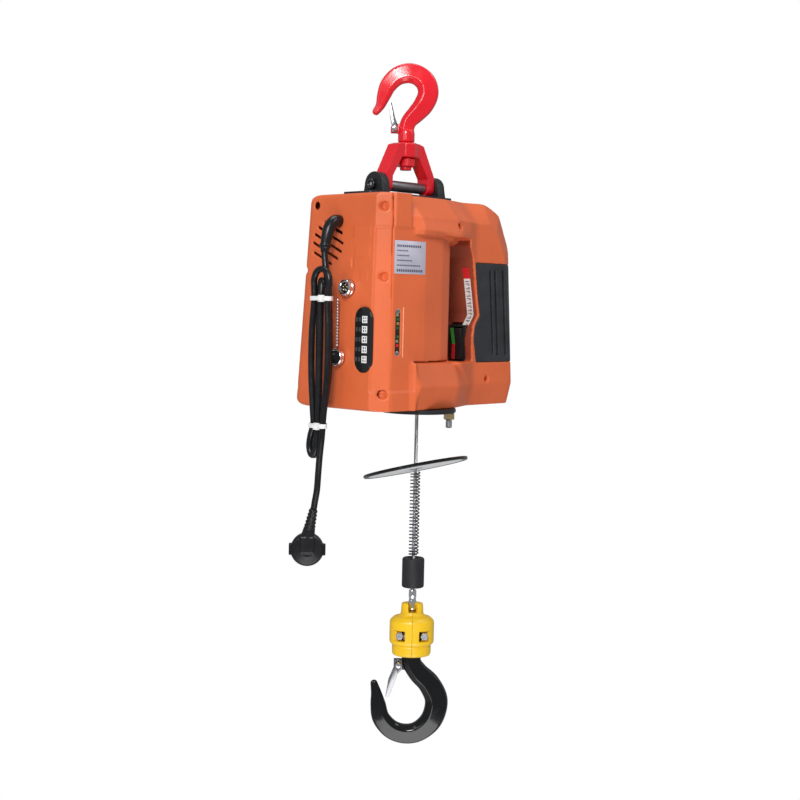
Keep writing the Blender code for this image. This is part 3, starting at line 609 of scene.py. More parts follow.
def cord_route():
    """The lead's own line: from the boot into the hank, five runs held by two ties, then to the plug."""
    back = (
        (-0.4, -262), (-2.4, -295), (-2.7, -345), (4.6, -390), (6.5, -407), (10.4, -420), (13.4, -432),
        (15.8, -439.6), (20, -442.8), (24.2, -439.6), (26, -431), (22.5, -418), (14.7, -405), (14.4, -390),
        (15, -345), (15.4, -295), (14.2, -262),
    )
    front = (
        (4.5, -262), (4.5, -295), (4.7, -345), (5.2, -390), (5.3, -407), (7, -420), (8, -431),
        (10.2, -438.8), (13.8, -441.6), (17.4, -438.8), (19.4, -431), (17.8, -420), (13.1, -405),
        (14.2, -390), (18.3, -345), (18.6, -300), (15.5, -262), (16, -248), (16.2, -238), (12, -229.4),
        (4, -226.3), (-4.6, -229.6), (-9, -238), (-8.2, -248), (-6.6, -262), (-8.6, -295), (-8.8, -345),
        (-4, -390), (-2.5, -405),
    )
    route = [CORD_EXIT, (-122.1, 8.4, -212), (-122.3, 6, -226), (-122.5, 1.8, -242)]
    route += [(HANK_BACK, y, z) for y, z in back]
    route += [(-122.9, 13.6, -250), (-124.4, 11, -240.5), (-127, 7.2, -240), (-129.4, 4.8, -248)]
    route += [(HANK_FRONT, y, z) for y, z in front]
    route += [(-130.4, -1, -420), (-129.3, 3, -442), (-127.8, 6.4, -462), (-127, 9, -482)]
    route += [(-127, 12.3, -497), (-127, 13.7, -503.9)]
    return smooth_path(route, CORD_SAMPLES)


def make_cord():
    points = cord_route()
    cord = tube("mains_lead", points, CORD_R, JACKET, 5, as_mesh=False)
    done(cord, "housing", "cord_jacket", "cord_lead", "cord_hank", "cord_tail")
    ties = [make_tie(name, height, points) for name, height in TIE_HEIGHTS.items()]
    plug = make_plug()


def hull(points):
    """The convex outline round points, by walking along their lower and then their upper side."""
    def half(ordered):
        chain = []
        for p in ordered:
            while len(chain) > 1:
                (ax, ay), (bx, by) = chain[-2:]
                if (bx - ax) * (p[1] - ay) - (by - ay) * (p[0] - ax) > 0:
                    break
                chain.pop()
            chain.append(p)
        return chain[:-1]

    ordered = sorted(points)
    return half(ordered) + half(ordered[::-1])


def make_tie(name, height, route):
    """A white nylon tie drawn round the runs that pass its height, with its square head at the front."""
    runs = [(a[0], a[1]) for a, b in zip(route, route[1:]) if (a[2] - height) * (b[2] - height) <= 0]
    inner, outer = [
        hull([place for run in runs for place in circle(run, CORD_R + spare, 24)]) for spare in (0.15, 1.45)
    ]
    tie = prism(f"tie_{name}", outer, "Z", height - 2.6, height + 2.6, WHITE, 0.4)
    cut(tie, prism("inside", inner, "Z", height - 9, height + 9, WHITE))
    front = min(x for x, y in outer)
    middle = min(y for x, y in outer) + 8
    low, high = (front - 4.6, middle - 3.6, height - 4), (front + 0.4, middle + 3.6, height + 4)
    head = block("head", low, high, WHITE, 0.8)
    low, high = (front - 6, middle - 1, height - 1.8), (front - 4.3, middle + 7, height + 1.8)
    tail = block("tail", low, high, WHITE, 0.3)
    tie = joined(f"cord_tie_{name}", [tie, head, tail])
    return done(tie, "housing", "white_nylon", f"cable_tie_{name}")


def make_plug():
    """The round plug from behind, with a ribbed neck that leans to the lead and a grip plate on its back."""
    centre = Vector((-127, 24, -554))
    axis = Vector((-1, -1, 0)).normalized()
    profile = [(0, -8), (17.6, -8), (19.2, -6.8), (19.6, -5.4), (19.6, 2.6), (18.9, 4.4), (17, 5.9)]
    profile += [(8, 7.4), (0, 7.6)]
    body = lathe("plug_moulding", profile, JACKET, steps=96, axis=axis, origin=centre)
    across = Vector((0, 0, 1)).cross(axis)
    for side in (-1, 1):
        ear = block("ear", (-3, -3, -7), (3, 3, 7), JACKET, 1)
        fuse(body, placed(ear, centre + across * 18.6 * side - axis * 1, 45))
    pad = block("pad", (-8.5, -2.4, -4), (8.5, 2.4, 16), JACKET, 1.4)
    fuse(body, placed(pad, centre + axis * 6.4, -45))
    foot, head = Vector((-127, 23.2, -538)), Vector((-127, 14, -504.6))
    root = [foot - Vector((0, -1, 8)), foot, foot + (head - foot) * 0.3]
    fuse(body, tube("root", root, 8.2, JACKET, 8, [1, 1, 0.82]))
    rings = 6
    points, scales = [], []
    for i in range(rings):
        for share, scale in ((0, 1), (0.5, 1), (0.55, 0.8), (0.98, 0.8)):
            points.append(foot + (head - foot) * (0.2 + 0.8 * (i + share) / rings))
            scales.append(scale * (1 - 0.05 * i))
    fuse(body, tube("ribs", points, 7.0, JACKET, 8, scales))
    return done(melted(body, 0.5, 2), "housing", "cord_jacket", "plug_body")


# ---- casing

# The casing's front view above and to the right, as lines that each leave it on their right.
TOP_LINES = (((-103, -138), (112, -138)), ((112, -138), (140, -150)), ((140, -150), (164, -196)),
             ((164, -196), (187, -374)))
PLAN = ((-54, -68), (-43, -75), (28, -71), (80, -46), (160, -42), (190, -20))
CASE_BOTTOM = -388
ARM_START_X, ARM_FULL_X = -58, -53  # the arms' facets begin over this stretch
UPPER_ARM_Z, LOWER_ARM_Z = -190, -331  # the upper arm's underside and the lower arm's top
PANEL_LEFT_X, PANEL_RIGHT_X = -50, 60
PANEL_BOTTOM = -334
PANEL_Y = -66.4
PANEL_STEP = 1.6
STRIP_TOP, STRIP_BOTTOM = -176.5, -366.5
GAP_X, GAP_Z = (42, 95), (-334, -186)  # where the hand gap's walls lie
SEAM_Y = -4
END_SEAM_X, END_DRAFT = -86, 0.03
CASE_MIDDLE_Z, CASE_HALF_HEIGHT = -263, 125
CREASE_UP = 26  # from the top edge down to the upper arm's crease
CREASE_LOW = 27


def between(value, low, high):
    """0 below low, 1 above high, smooth between."""
    t = min(1, max(0, (value - low) / (high - low)))
    return t * t * (3 - 2 * t)


def plan_y(x):
    """How far forward the casing's plan stands at an X."""
    for (x0, y0), (x1, y1) in zip(PLAN, PLAN[1:]):
        if x <= x1:
            return y0 + (y1 - y0) * max(0, x - x0) / (x1 - x0)
    return PLAN[-1][1]


def edge_distance(x, z):
    """How far a place on the front lies inside the casing's top and right edges."""
    distances = []
    for (x0, z0), (x1, z1) in TOP_LINES:
        along = Vector((x1 - x0, z1 - z0)).normalized()
        distances.append(along.x * (z0 - z) - along.y * (x0 - x))
    return min(distances)


def arm_push(x, z):
    """How far the moulded facets of the arms are cut back from the plan."""
    if x < ARM_START_X:
        return 0
    inside = edge_distance(x, z)
    steep = 0.95 - 0.45 * between(x, 60, 130)
    push = max(0, CREASE_UP - inside) * steep
    low = z - CASE_BOTTOM
    if z < LOWER_ARM_Z:
        share = between(x, -50, -42)
        slant = 31 + (-336 - z) * 1.36
        push += share * max(0, low - CREASE_LOW) * 0.3 * (1 - between(x, slant - 4, slant + 4))
        push += share * max(0, CREASE_LOW - low) * 0.32
    elif z > UPPER_ARM_Z:
        push += 5 * between(z, -182, -164) * (1 - between(x, 30, 62))
    return push * between(x, ARM_START_X, ARM_FULL_X)


def strip_share(z):
    """1 over the height of the corner strip's shallow recess, 0 above and below it."""
    return between(STRIP_TOP - z, 0, 2.5) * between(z - STRIP_BOTTOM, 0, 2.5)


def panel_push(x, z):
    """How far the panel between the arms, and the strip beside it, are drawn in from their own flat."""
    if x > PANEL_RIGHT_X:
        return 0
    if x < PANEL_LEFT_X:
        return PANEL_STEP * strip_share(z)
    top = -179 - 9 * between(x, -20, 42)
    share = between(top - z, 0, 3) * between(z - PANEL_BOTTOM, 0, 2.5)
    return share * (PANEL_STEP + 0.12 * max(0, x + 32))


def shape_front(obj):
    """Moves the front of the casing back to its facets, and closes the depth behind them up to the seam."""
    for vertex in obj.data.vertices:
        x, y, z = [c / MM for c in vertex.co]
        front = plan_y(x)
        deep = y - front
        reach = SEAM_Y - 2 - front
        if not 0 <= deep + 3 < reach + 3:
            continue
        between_arms = LOWER_ARM_Z <= z <= UPPER_ARM_Z and x < PANEL_RIGHT_X
        push = panel_push(x, z) + (0 if between_arms else min(arm_push(x, z), reach * 0.7))
        vertex.co.y += push * (1 - max(0, deep) / reach) * MM


def screw_well(obj, place, radius, depth):
    """A blind counterbore for a casing screw, drilled from the front."""
    x, y, z = place
    cut(obj, rod("well", radius, y - 30, y + depth, ORANGE, "Y", (x, z), 32))


COVER_WELLS = ((47, -151, 4.6), (65, -227, 4.2), (76, -366, 4.4), (-58.5, -154, 5.2), (-60.5, -234, 5.2),
               (-62, -368, 5.2))
COVER_PADS = ((-45, -17, -190, -177), (-45, -20.5, -212, -199), (35, 47, -181, -171), (37, 48.5, -204, -193),
              (40, 51, -228, -216), (-43, -30, -240, -227), (56, 64, -346, -337), (22, 44, -346, -343))
COVER_SLITS = ((-16.2, -212, -224), (-25.5, -216, -223))


def make_end_cover():
    """The end cover, with screw wells in low bosses, vent slits and slightly raised pads."""
    cover = copy_node("end_cover", "casing_end_cover", ORANGE)
    for y, z, radius in COVER_WELLS:
        boss = rod("boss", radius + 2.6, -92.5, -86.4, ORANGE, "X", (y * 0.94, z), 32)
        fuse(cover, boss)
    for y, z, radius in COVER_WELLS:
        cut(cover, rod("well", radius, -130, -89.5, ORANGE, "X", (y, z), 32))
    for y, low, high in COVER_SLITS:
        cut(cover, block("slit", (-130, y - 1.1, low), (-100.2, y + 1.1, high), ORANGE))
    melted(cover, 1.0, 5)
    outward = [vertex.normal.x < -0.8 for vertex in cover.data.vertices]
    for vertex, faces_end in zip(cover.data.vertices, outward):
        x, y, z = [c / MM for c in vertex.co]
        if faces_end and x < -97:
            inside = any(a < y < b and c < z < d for a, b, c, d in COVER_PADS)
            vertex.co.x -= 0.55 * MM * inside
        inset = 1.7 * strip_share(z) * between(-y, 50, 54) * MM
        vertex.co += Vector((inset * 0.5, inset * 0.9, 0))
    relax(cover, 1)
    close_seam(cover, 0, 1, -0.2)
    done(cover, "housing", "orange_nylon", "end_cover")


def end_seam(z):
    """The X of the joint between the end cover and the shells, which leans with the casing's draft."""
    return END_SEAM_X * (1 + END_DRAFT * (CASE_MIDDLE_Z - z) / CASE_HALF_HEIGHT)


def close_seam(obj, axis, side, gap, reach=3.2):
    """Draws a remeshed edge back to the joint face that it was rounded away from."""
    facing = [vertex.normal[axis] * side > 0.1 for vertex in obj.data.vertices]
    for vertex, faces_seam in zip(obj.data.vertices, facing):
        place = SEAM_Y if axis else end_seam(vertex.co.z / MM)
        away = (place - vertex.co[axis] / MM) * side
        if 0 < away < reach and faces_seam:
            vertex.co[axis] = (place - side * gap) * MM


def paint_shade_on_gap_walls(obj):
    """Paints shade on the hand gap's own walls: they get a matt, darker copy of the orange nylon where the
    shadow falls.
    """
    obj.data.materials.append(ORANGE_PAINTED_SHADE)
    for polygon in obj.data.polygons:
        x, y, z = [c / MM for c in polygon.center]
        within = GAP_X[0] < x < GAP_X[1] and GAP_Z[0] < z < GAP_Z[1]
        # Painted shade: the gap walls that face -X get the darker copy of the orange nylon.
        if within and polygon.normal.x < -0.5 and y > plan_y(x) + 2.5:
            polygon.material_index = 1


def make_shells():
    """The front shell, drawn back to its moulded facets, and the rear shell behind it."""
    front = copy_node("front_shell", "casing_front_shell", ORANGE)
    screw_well(front, (27, -70, -171), 4.0, 9)
    screw_well(front, (108, -46, -355), 3.8, 9)
    melted(front, 1.15, 4)
    shape_front(front)
    relax(front, 2)
    close_seam(front, 0, -1, 0.02)
    close_seam(front, 1, 1, 0.05)
    # The hand gap's walls on the front shell get painted shade.
    paint_shade_on_gap_walls(front)
    done(front, "housing", "orange_nylon", "front_shell")
    rear = copy_node("rear_shell", "casing_rear_shell", ORANGE)
    melted(rear, 1.3, 6)
    close_seam(rear, 0, -1, 0.02)
    close_seam(rear, 1, -1, 0.05)
    # The hand gap's walls on the rear shell get painted shade.
    paint_shade_on_gap_walls(rear)
    done(rear, "housing", "orange_nylon", "rear_shell")


GRIP_TOP = -212
GRIP_BOTTOM = -334
GRIP_LEAN = 0.095
GRIP_GROOVES = ((110, 1.6), (120, 2.0), (136, 2.2))  # the X and half width of each groove


def make_grip():
    """The rubber grip, rounded at its outer edges, with grooves down its front and back."""
    grip = copy_node("grip", "handle_grip", GRIP)
    for x, half in GRIP_GROOVES:
        top, bottom = GRIP_TOP - 8, GRIP_BOTTOM + 7
        shift = GRIP_LEAN * (top - bottom)
        outline = [(x - half, top), (x + half, top), (x + half + shift, bottom), (x - half + shift, bottom)]
        cut(grip, prism("groove", outline, "Y", -80, plan_y(x) + 5.2, GRIP))
        cut(grip, prism("groove", outline, "Y", 24, 80, GRIP))
    melted(grip, 1.0, 5)
    shape_front(grip)
    relax(grip, 2)
    done(grip, "housing", "rubber", "grip")


# ---- hooks


def forged_flank(across):
    """Half thickness of a hook's section, as a share of its half width: 1 across is the inner edge."""
    return 0.5 + 0.28 * min(1, (across + 1) / 1.45) - 0.75 * max(0, across - 0.45)


def sweep(name, stations, mat, centre, inner, sides=48, count=120):
    """A forged body through (u, z, radius) stations in the hooks' plane, with a round nose at its far end.

    Its section is thick beside the inner edge and thins outwards, as a crane hook's does.
    """
    samples = smooth_path(stations, count)
    tip, before = samples[-1], samples[-2]
    ahead = Vector((tip[0] - before[0], tip[1] - before[1])).normalized()
    nose = tip[2]
    for i in range(1, 7):
        angle = math.pi / 2 * i / 6
        reach = nose * math.sin(angle)
        radius = nose * max(0.02, math.cos(angle))
        samples.append([tip[0] + ahead.x * reach, tip[1] + ahead.y * reach, radius])
    bm = bmesh.new()
    rings = []
    for i, (u, z, radius) in enumerate(samples):
        a, b = samples[max(0, i - 1)], samples[min(len(samples) - 1, i + 1)]
        along = Vector((b[0] - a[0], b[1] - a[1])).normalized()
        side = Vector((along.y, -along.x))
        ring = []
        for k in range(sides):
            angle = 2 * math.pi * k / sides
            across, out = radius * math.cos(angle), radius * math.sin(angle)
            flank = forged_flank(inner * math.cos(angle))
            out = math.copysign(min(abs(out), radius * flank), out)
            ring.append(bm.verts.new(along_hook(u + side.x * across, z + side.y * across, out, centre)))
        rings.append(ring)
    for a, b in zip(rings, rings[1:]):
        for k in range(sides):
            n = (k + 1) % sides
            bm.faces.new([a[k], a[n], b[n], b[k]])
    bm.faces.new(rings[0])
    bm.faces.new(rings[-1])
    return from_bmesh(name, bm, mat)


TOP_BOWL = ((0, -62, 9.2), (0, -54, 9.2), (3, -45, 9.6), (12, -35, 11), (20, -25, 12.2), (25, -12, 12.5),
            (22, 1, 12.4), (12, 9.5, 12), (0, 11.8, 11.8), (-13, 7.5, 11), (-23, -3, 10), (-28, -15, 8.4),
            (-32, -27, 5.8), (-37, -34.5, 4.5))
LOAD_BOWL = ((0, -683, 11), (0, -692, 11.4), (2, -702, 11.6), (10, -713, 12.5), (23, -726, 13.5),
             (32, -746, 14), (27, -769, 13.5), (12, -784, 12.4), (-5, -788, 12), (-22, -783, 11.6),
             (-35, -769, 10.8), (-39, -752, 9.4), (-41.5, -738, 6.6), (-44.5, -726, 4.4))
TOP_PIVOT = (-14, -54.5)
LOAD_PIVOT = (-15.5, -701.5)


def make_top_hook():
    """The red forging with its collar, shank and latch lug, and the hexagonal nut under the bail."""
    hook = sweep("top_hook_forging", TOP_BOWL, RED, (0, 0), -1)
    collar = lathe("collar", [(0, -70.7), (8.6, -70.7), (10, -69.4), (10, -60), (9.2, -56), (0, -56)], RED)
    shank = rod("shank", 7, -104, -60, RED, bevel=0.8)
    lug = hook_prism("lug", [(-19, -60), (-4, -60), (-4, -49), (-14, -48.6), (-19, -52)], 3.4, RED, bevel=0.6)
    fuse(hook, collar, shank, lug)
    done(melted(hook, 0.7, 2), "hook_root", "red_enamel", "top_hook")
    profile = [(7.3, -100), (9.6, -100), (11, -98.8), (11, -90.7), (9.6, -89.5), (7.3, -89.5)]
    nut = lathe("nut", profile, RED, steps=6)
    done(nut, "hook_root", "red_enamel", "top_hook_nut")


def make_load_hook():
    """The black forging with its shank and latch lug."""
    hook = sweep("load_hook_forging", LOAD_BOWL, GLOSS_BLACK, ROPE_XY, 1)
    shank = rod("shank", 8, -684, -656, GLOSS_BLACK, centre=ROPE_XY, bevel=0.8)
    outline = [(-20.4, -706.6), (-19, -707.6), (-4, -708.8), (-4, -694.4), (-18.4, -696.6), (-20.4, -698)]
    fuse(hook, shank, hook_prism("lug", outline, 3.7, GLOSS_BLACK, ROPE_XY, 0.5))
    done(melted(hook, 0.75, 2), body_of("load_hook"), "black_steel", "load_hook")


# ---- rope, spring, limit plate


ROPE_TOP, ROPE_LOW = -262, -609.5
PLATE_Z = -461
PLATE_TILT = math.radians(12)
PLATE_TIP = math.radians(-9.4)
SPRING_LOW, SPRING_HIGH = -569, -465.5
SPRING_TURNS, SPRING_R = 25, 5.5
STRANDS, STRAND_R, STRAND_LAY = 6, 1.48, 16  # their number, how far they lie from the core, and their pitch


def strand_points(radius, phase, low, high, pitch, centre, steps):
    points = []
    for i in range(steps + 1):
        z = low + (high - low) * i / steps
        angle = phase + 2 * math.pi * (z - low) / pitch
        points.append((centre[0] + radius * math.cos(angle), centre[1] + radius * math.sin(angle), z))
    return points


def make_wire_rope():
    """Six outer strands laid round a core, which stretch between the casing and the hook block."""
    steps = 170
    strands = [tube("core", strand_points(0.01, 0, ROPE_LOW, ROPE_TOP, 14, ROPE_XY, 40), 0.9, WIRE, 2)]
    for k in range(STRANDS):
        phase = 2 * math.pi * k / STRANDS
        points = strand_points(STRAND_R, phase, ROPE_LOW, ROPE_TOP, STRAND_LAY, ROPE_XY, steps)
        strands.append(tube("strand", points, 0.79, WIRE, 2))
    rope = joined("laid_wire_rope", strands)
    shade(rope, 60)
    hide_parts("wire_rope")
    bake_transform(rope)


def make_spring():
    """A close wound compression spring, with a few dead turns at each end."""
    per_turn = 20
    points = []
    for i in range(SPRING_TURNS * per_turn + 1):
        share = i / (SPRING_TURNS * per_turn)
        angle = 2 * math.pi * i / per_turn
        closed = 0.028 * (1 if share > 0.5 else -1) * between(abs(share - 0.5), 0.42, 0.5)
        z = SPRING_LOW + (SPRING_HIGH - SPRING_LOW) * min(1, max(0, share - closed * 0.4))
        points.append((ROPE_XY[0] + SPRING_R * math.cos(angle), ROPE_XY[1] + SPRING_R * math.sin(angle), z))
    spring = tube("limit_spring_coil", points, 0.78, SPRING, 3)
    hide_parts("limit_spring")
    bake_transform(spring)


def make_limit_plate():
    """A dished black disc with a rolled rim, and a pale disc under it, tipped in the hooks' plane."""
    profile = [(7.5, -0.6), (58.5, -0.6), (61, -1.8), (63, -2), (64, -0.8), (64, 1.2), (63, 2), (60, 2)]
    profile += [(20, 1.6), (16, 0.9), (7.5, 0.9)]
    disc = lathe("limit_plate_disc", profile, GLOSS_BLACK, steps=128)
    profile = [(9, -1.5), (57.5, -1.5), (58, -0.9), (58, -0.65), (9, -0.65)]
    face = lathe("limit_plate_face", profile, PLATE_FACE, steps=128)
    profile = [(3.2, 0.95), (11.5, 0.95), (12, 1.5), (12, 2.3), (11.3, 2.8), (3.2, 2.8)]
    washer = lathe("limit_plate_washer", profile, STEEL)
    lean = Matrix.Rotation(PLATE_TILT, 4, HOOK_N) @ Matrix.Rotation(PLATE_TIP, 4, HOOK_U)
    tip = Matrix.Translation((ROPE_XY[0] * MM, ROPE_XY[1] * MM, PLATE_Z * MM)) @ lean
    for obj, slot in ((disc, "black_plastic"), (face, "black_plastic"), (washer, "steel")):
        obj.data.transform(tip)
        done(obj, "limit_plate", slot)
    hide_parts("limit_plate")


def make_bumper():
    """The rubber bumper under the spring, and the swaged ferrule at the rope's end."""
    profile = [(3.2, -606.6), (12.2, -606.6), (13.2, -605.8), (13.5, -604.4), (13.5, -573), (13.1, -571.5)]
    profile += [(12, -570.6), (7.6, -570.6), (7.2, -571.6), (3.2, -571.6)]
    done(lathe("rubber_bumper", profile, RUBBER, ROPE_XY, 96), "hook_block", "rubber", "bumper")
    profile = [(0, -634), (4.4, -634), (4.6, -633), (4.6, -623), (4.25, -622.2), (4.25, -619.6)]
    profile += [(4.6, -618.8), (4.6, -611.4), (4.1, -610), (0, -610)]
    done(lathe("swaged_ferrule", profile, CHROME, ROPE_XY, 64), "hook_block", "steel", "rope_ferrule")


# ---- bail and ears


def softened(node, name, mat, width, segments=2, least=28):
    """A CAD node with its flat faces made whole and its edges rounded over."""
    obj = copy_node(node, name, mat)
    bm = bmesh.new()
    bm.from_mesh(obj.data)
    bmesh.ops.dissolve_limit(bm, angle_limit=math.radians(1), verts=bm.verts, edges=bm.edges)
    soften(bm, width * MM, segments, least)
    bm.to_mesh(obj.data)
    bm.free()
    return shade(obj)


def make_bail():
    """The red bail with its octagonal boss, and the grey roller between its feet."""
    bail = copy_node("bail", "bail_forging", RED)
    profile = [(7.3, -89.3), (13, -89.3), (14.6, -88), (14.6, -73), (13.4, -71.6), (7.3, -71.6)]
    fuse(bail, lathe("boss", profile, RED, steps=8))
    done(melted(bail, 0.6, 3), "bail", "red_enamel", "bail")
    profile = [(4.3, -30), (6.2, -30), (6.5, -29.4), (6.5, 29.4), (6.2, 30), (4.3, 30)]
    roller = lathe("bail_roller_sleeve", profile, ROLLER, steps=64, axis=(1, 0, 0), origin=(0, 0, PIN_Z))
    done(roller, "roller", "steel", "bail_roller")


def make_ears():
    """The two ears, each with its socket head screw, and the plate that carries them."""
    for name, side in (("near", -1), ("far", 1)):
        ear = softened(f"ear_{name}", f"ear_cheek_{name}", BLACK, 1.3, 3)
        done(ear, "housing", "black_steel", f"ear_{name}")
        low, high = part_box(f"ear_bolt_{name}")
        face = (high.x if side > 0 else -low.x) / MM
        profiles = (
            ([(0, -5.4), (5.9, -5.4), (6.2, -5), (6.2, -0.8), (5.5, 0), (3.4, 0), (3.1, -0.3), (3.1, -2.6),
              (0, -2.6)], DARK_STEEL, 48),
            ([(0, -2.7), (2.2, -2.7), (2.2, -1.2), (1.2, -0.9), (0, -0.9)], CHROME, 24),
            ([(0, 43 - face), (3.9, 43 - face), (3.9, -5.2), (0, -5.2)], STEEL, 32),
        )
        parts = [
            lathe("part", [(r, face + h) for r, h in profile], mat, steps=steps, axis=(side, 0, 0),
                  origin=(0, 0, PIN_Z))
            for profile, mat, steps in profiles
        ]
        done(joined(f"ear_socket_screw_{name}", parts), "housing", "steel", f"ear_bolt_{name}")
    done(softened("top_plate", "top_saddle_plate", BLACK_METAL, 0.6), "housing", "black_steel", "top_plate")


def make_latches():
    """The two sheet latches, and the domed rivet that each turns on."""
    for name, body in (("top", "top_latch"), ("load", "load_latch")):
        latch = softened(f"{name}_hook_latch", f"{name}_latch_sheet", LATCH_STEEL, 0.3)
        done(latch, body, "chrome", f"{name}_hook_latch")
    pivots = (("top_latch_pin", TOP_PIVOT, (0, 0)), ("load_latch_rivet", LOAD_PIVOT, ROPE_XY))
    for node, pivot, centre in pivots:
        low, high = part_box(node)
        half = (high - low).length / MM / 2 * 0.93
        ends = [(0, -half), (2.6, -half + 0.3), (3.7, -half + 1.5), (3.7, -half + 2.4), (1.9, -half + 2.4)]
        shape = ends + [(radius, -height) for radius, height in reversed(ends)]
        origin = along_hook(*pivot, 0, centre)
        rivet = lathe(f"{node}_domed", shape, CHROME, steps=40, axis=tuple(HOOK_N), origin=origin)
        done(rivet, body_of(node), "chrome", node)


# ---- hook cover


BOLT_U, BOLT_Z = 15, -664  # the cover bolts' places, across the hooks' plane and up


def make_hook_cover():
    """Two moulded halves with a stepped waist, a slotted neck, deep bolt pockets and a parting line."""
    outer = [(0, -690), (21.4, -690), (22.6, -689), (23.5, -687), (23.7, -677.5), (24.4, -676.2)]
    outer += [(26.2, -674.6), (27, -672), (27, -649), (26, -646.4), (22, -642.6), (16.4, -641.2)]
    outer += [(14.2, -639.6), (13.6, -637), (13, -627), (12.4, -626), (0, -626)]
    whole = lathe("whole", outer, YELLOW, steps=72)
    whole.data.transform(Matrix.Diagonal((1, 0.8, 1, 1)))
    cavity = rod("cavity", 16, -681, -645, YELLOW)
    fuse(cavity, rod("bore", 5, -646, -620, YELLOW), rod("neck", 11.9, -700, -680, YELLOW))
    cut(whole, cavity, block("notch", (-4.9, -20, -637), (6.5, -2, -600), YELLOW))
    cut(whole, *[bolt_pocket(side) for side in (-1, 1)])
    groove = lathe("groove", [(22.9, -678.6), (40, -678.6), (40, -677), (22.9, -677)], YELLOW, steps=72)
    groove.data.transform(Matrix.Diagonal((1, 0.8, 1, 1)))
    cut(whole, groove)
    melted(whole, 0.55, 3)
    for name, side in (("left", -1), ("right", 1)):
        half = half_of(whole, f"hook_cover_half_{name}", side)
        turn_about(half, HOOK_TURN, ROPE_XY)
        done(half, "hook_block", "yellow_nylon", f"hook_cover_{name}")
        profile = [(0, 0), (4.4, 0), (5, 0.5), (5, 3), (4.3, 3.5), (0, 3.5)]
        bolt = lathe(f"cover_hex_bolt_{name}", profile, STEEL, steps=6, axis=(0, -1, 0),
                     origin=(BOLT_U * side, -13.8, BOLT_Z))
        turn_about(bolt, HOOK_TURN, ROPE_XY)
        done(bolt, "hook_block", "steel", f"cover_bolt_{name}")
    bpy.data.objects.remove(whole)


def half_of(whole, name, side):
    """The part of a mesh on one side of the parting plane, with the plane's own faces filled."""
    bm = bmesh.new()
    bm.from_mesh(whole.data)
    everything = [*bm.verts, *bm.edges, *bm.faces]
    bmesh.ops.bisect_plane(
        bm, geom=everything, plane_co=(0.17 * side * MM, 0, 0), plane_no=(-side, 0, 0), clear_outer=True
    )
    bmesh.ops.edgeloop_fill(bm, edges=[e for e in bm.edges if e.is_boundary])
    bmesh.ops.recalc_face_normals(bm, faces=bm.faces)
    mesh = bpy.data.meshes.new(name)
    bm.to_mesh(mesh)
    bm.free()
    return link_mesh(name, mesh, YELLOW)


def bolt_pocket(side):
    """The pocket round a bolt head, open to the cavity behind it."""
    u = BOLT_U * side
    outline = [(u - 6.4, -670.4), (u + 6.4, -670.4), (u + 6.4, -657.6), (u - 6.4, -657.6)]
    return prism("pocket", outline, "Y", -40, -11.5, YELLOW)


# ---- end fittings, switch and labels


CONNECTOR = (-98, -13, -247)
CONTACTS = 5
CHAIN_TOP = (-110, -2, -261)
BEAD_PITCH = 3.5
BEADS = 16


def make_connector():
    """A round connector with a knurled nut and five contacts, its bead chain and its cap."""
    x, y, z = CONNECTOR
    seat = {"axis": (-1, 0, 0), "origin": CONNECTOR}
    profile = [(5.9, -4), (7.9, -4), (7.9, 5.6), (9.4, 5.6), (10, 6.2), (10, 8.4), (9.4, 9), (8.6, 9)]
    profile += [(8.6, 9.6), (9.6, 10), (9.6, 12.6), (8.8, 13.6), (7.4, 14), (6.6, 14), (5.9, 13.2)]
    done(lathe("connector_ring", profile, CHROME, steps=96, **seat), "housing", "chrome", "connector_shell")
    contacts = [lathe("face", [(0, -2), (5.5, -2), (5.5, 8.6), (4.9, 9), (0, 9)], BLACK, steps=64, **seat)]
    pin = [(0, 8), (0.7, 8), (0.7, 11.6), (0.3, 12), (0, 12)]
    for i in range(CONTACTS):
        angle = math.radians(360 / CONTACTS * i + 20)
        seat["origin"] = (x, y + 3.3 * math.cos(angle), z + 3.3 * math.sin(angle))
        contacts.append(lathe("pin", pin, BRASS, steps=16, **seat))
    done(joined("connector_contacts", contacts), "housing", "black_plastic", "connector_insert")
    make_chain()


def bead(place, radius, mat, rings=10, sides=16):
    angles = [math.pi * i / rings for i in range(rings + 1)]
    half = [(radius * math.sin(a), -radius * math.cos(a)) for a in angles]
    return lathe("bead", half, mat, steps=sides, axis=(0, 0, 1), origin=place)


def make_chain():
    """The bead chain from the connector down to its cap, and the cap with its black liner."""
    x, y, top = CHAIN_TOP
    beads = [bead((x, y, top - BEAD_PITCH * i), 1.6, STEEL) for i in range(BEADS)]
    beads.append(rod("link", 0.4, top - BEAD_PITCH * (BEADS - 1), top, CHROME, centre=(x, y), steps=8))
    done(joined("cap_bead_chain", beads), body_of("cap_chain"), "chrome", "cap_chain")
    seat = {"axis": (-1, 0, 0), "origin": (-106.3, y, -327.5)}
    profile = [(0, 0), (8.6, 0), (9.4, 0.5), (10, 1.3), (10, 2.6), (9.5, 3), (10, 3.4), (10, 6.4)]
    profile += [(9.4, 7), (8.4, 7), (7.9, 6.4), (7.9, 2.6), (0, 2.6)]
    cap = lathe("cap", profile, CHROME, steps=96, **seat)
    liner = lathe("liner", [(0, 2.7), (7.6, 2.7), (7.6, 3.6), (6.4, 4.2), (0, 4.2)], BLACK, steps=64, **seat)
    done(joined("dust_cap_turned", [cap, liner]), body_of("dust_cap"), "chrome", "dust_cap")


def mark(face, proud, y, half_width, z, half_height, mat):
    """A thin printed patch on a face that looks along -X."""
    low = (face - proud, y - half_width, z - half_height)
    return block("mark", low, (face + 0.2, y + half_width, z + half_height), mat)


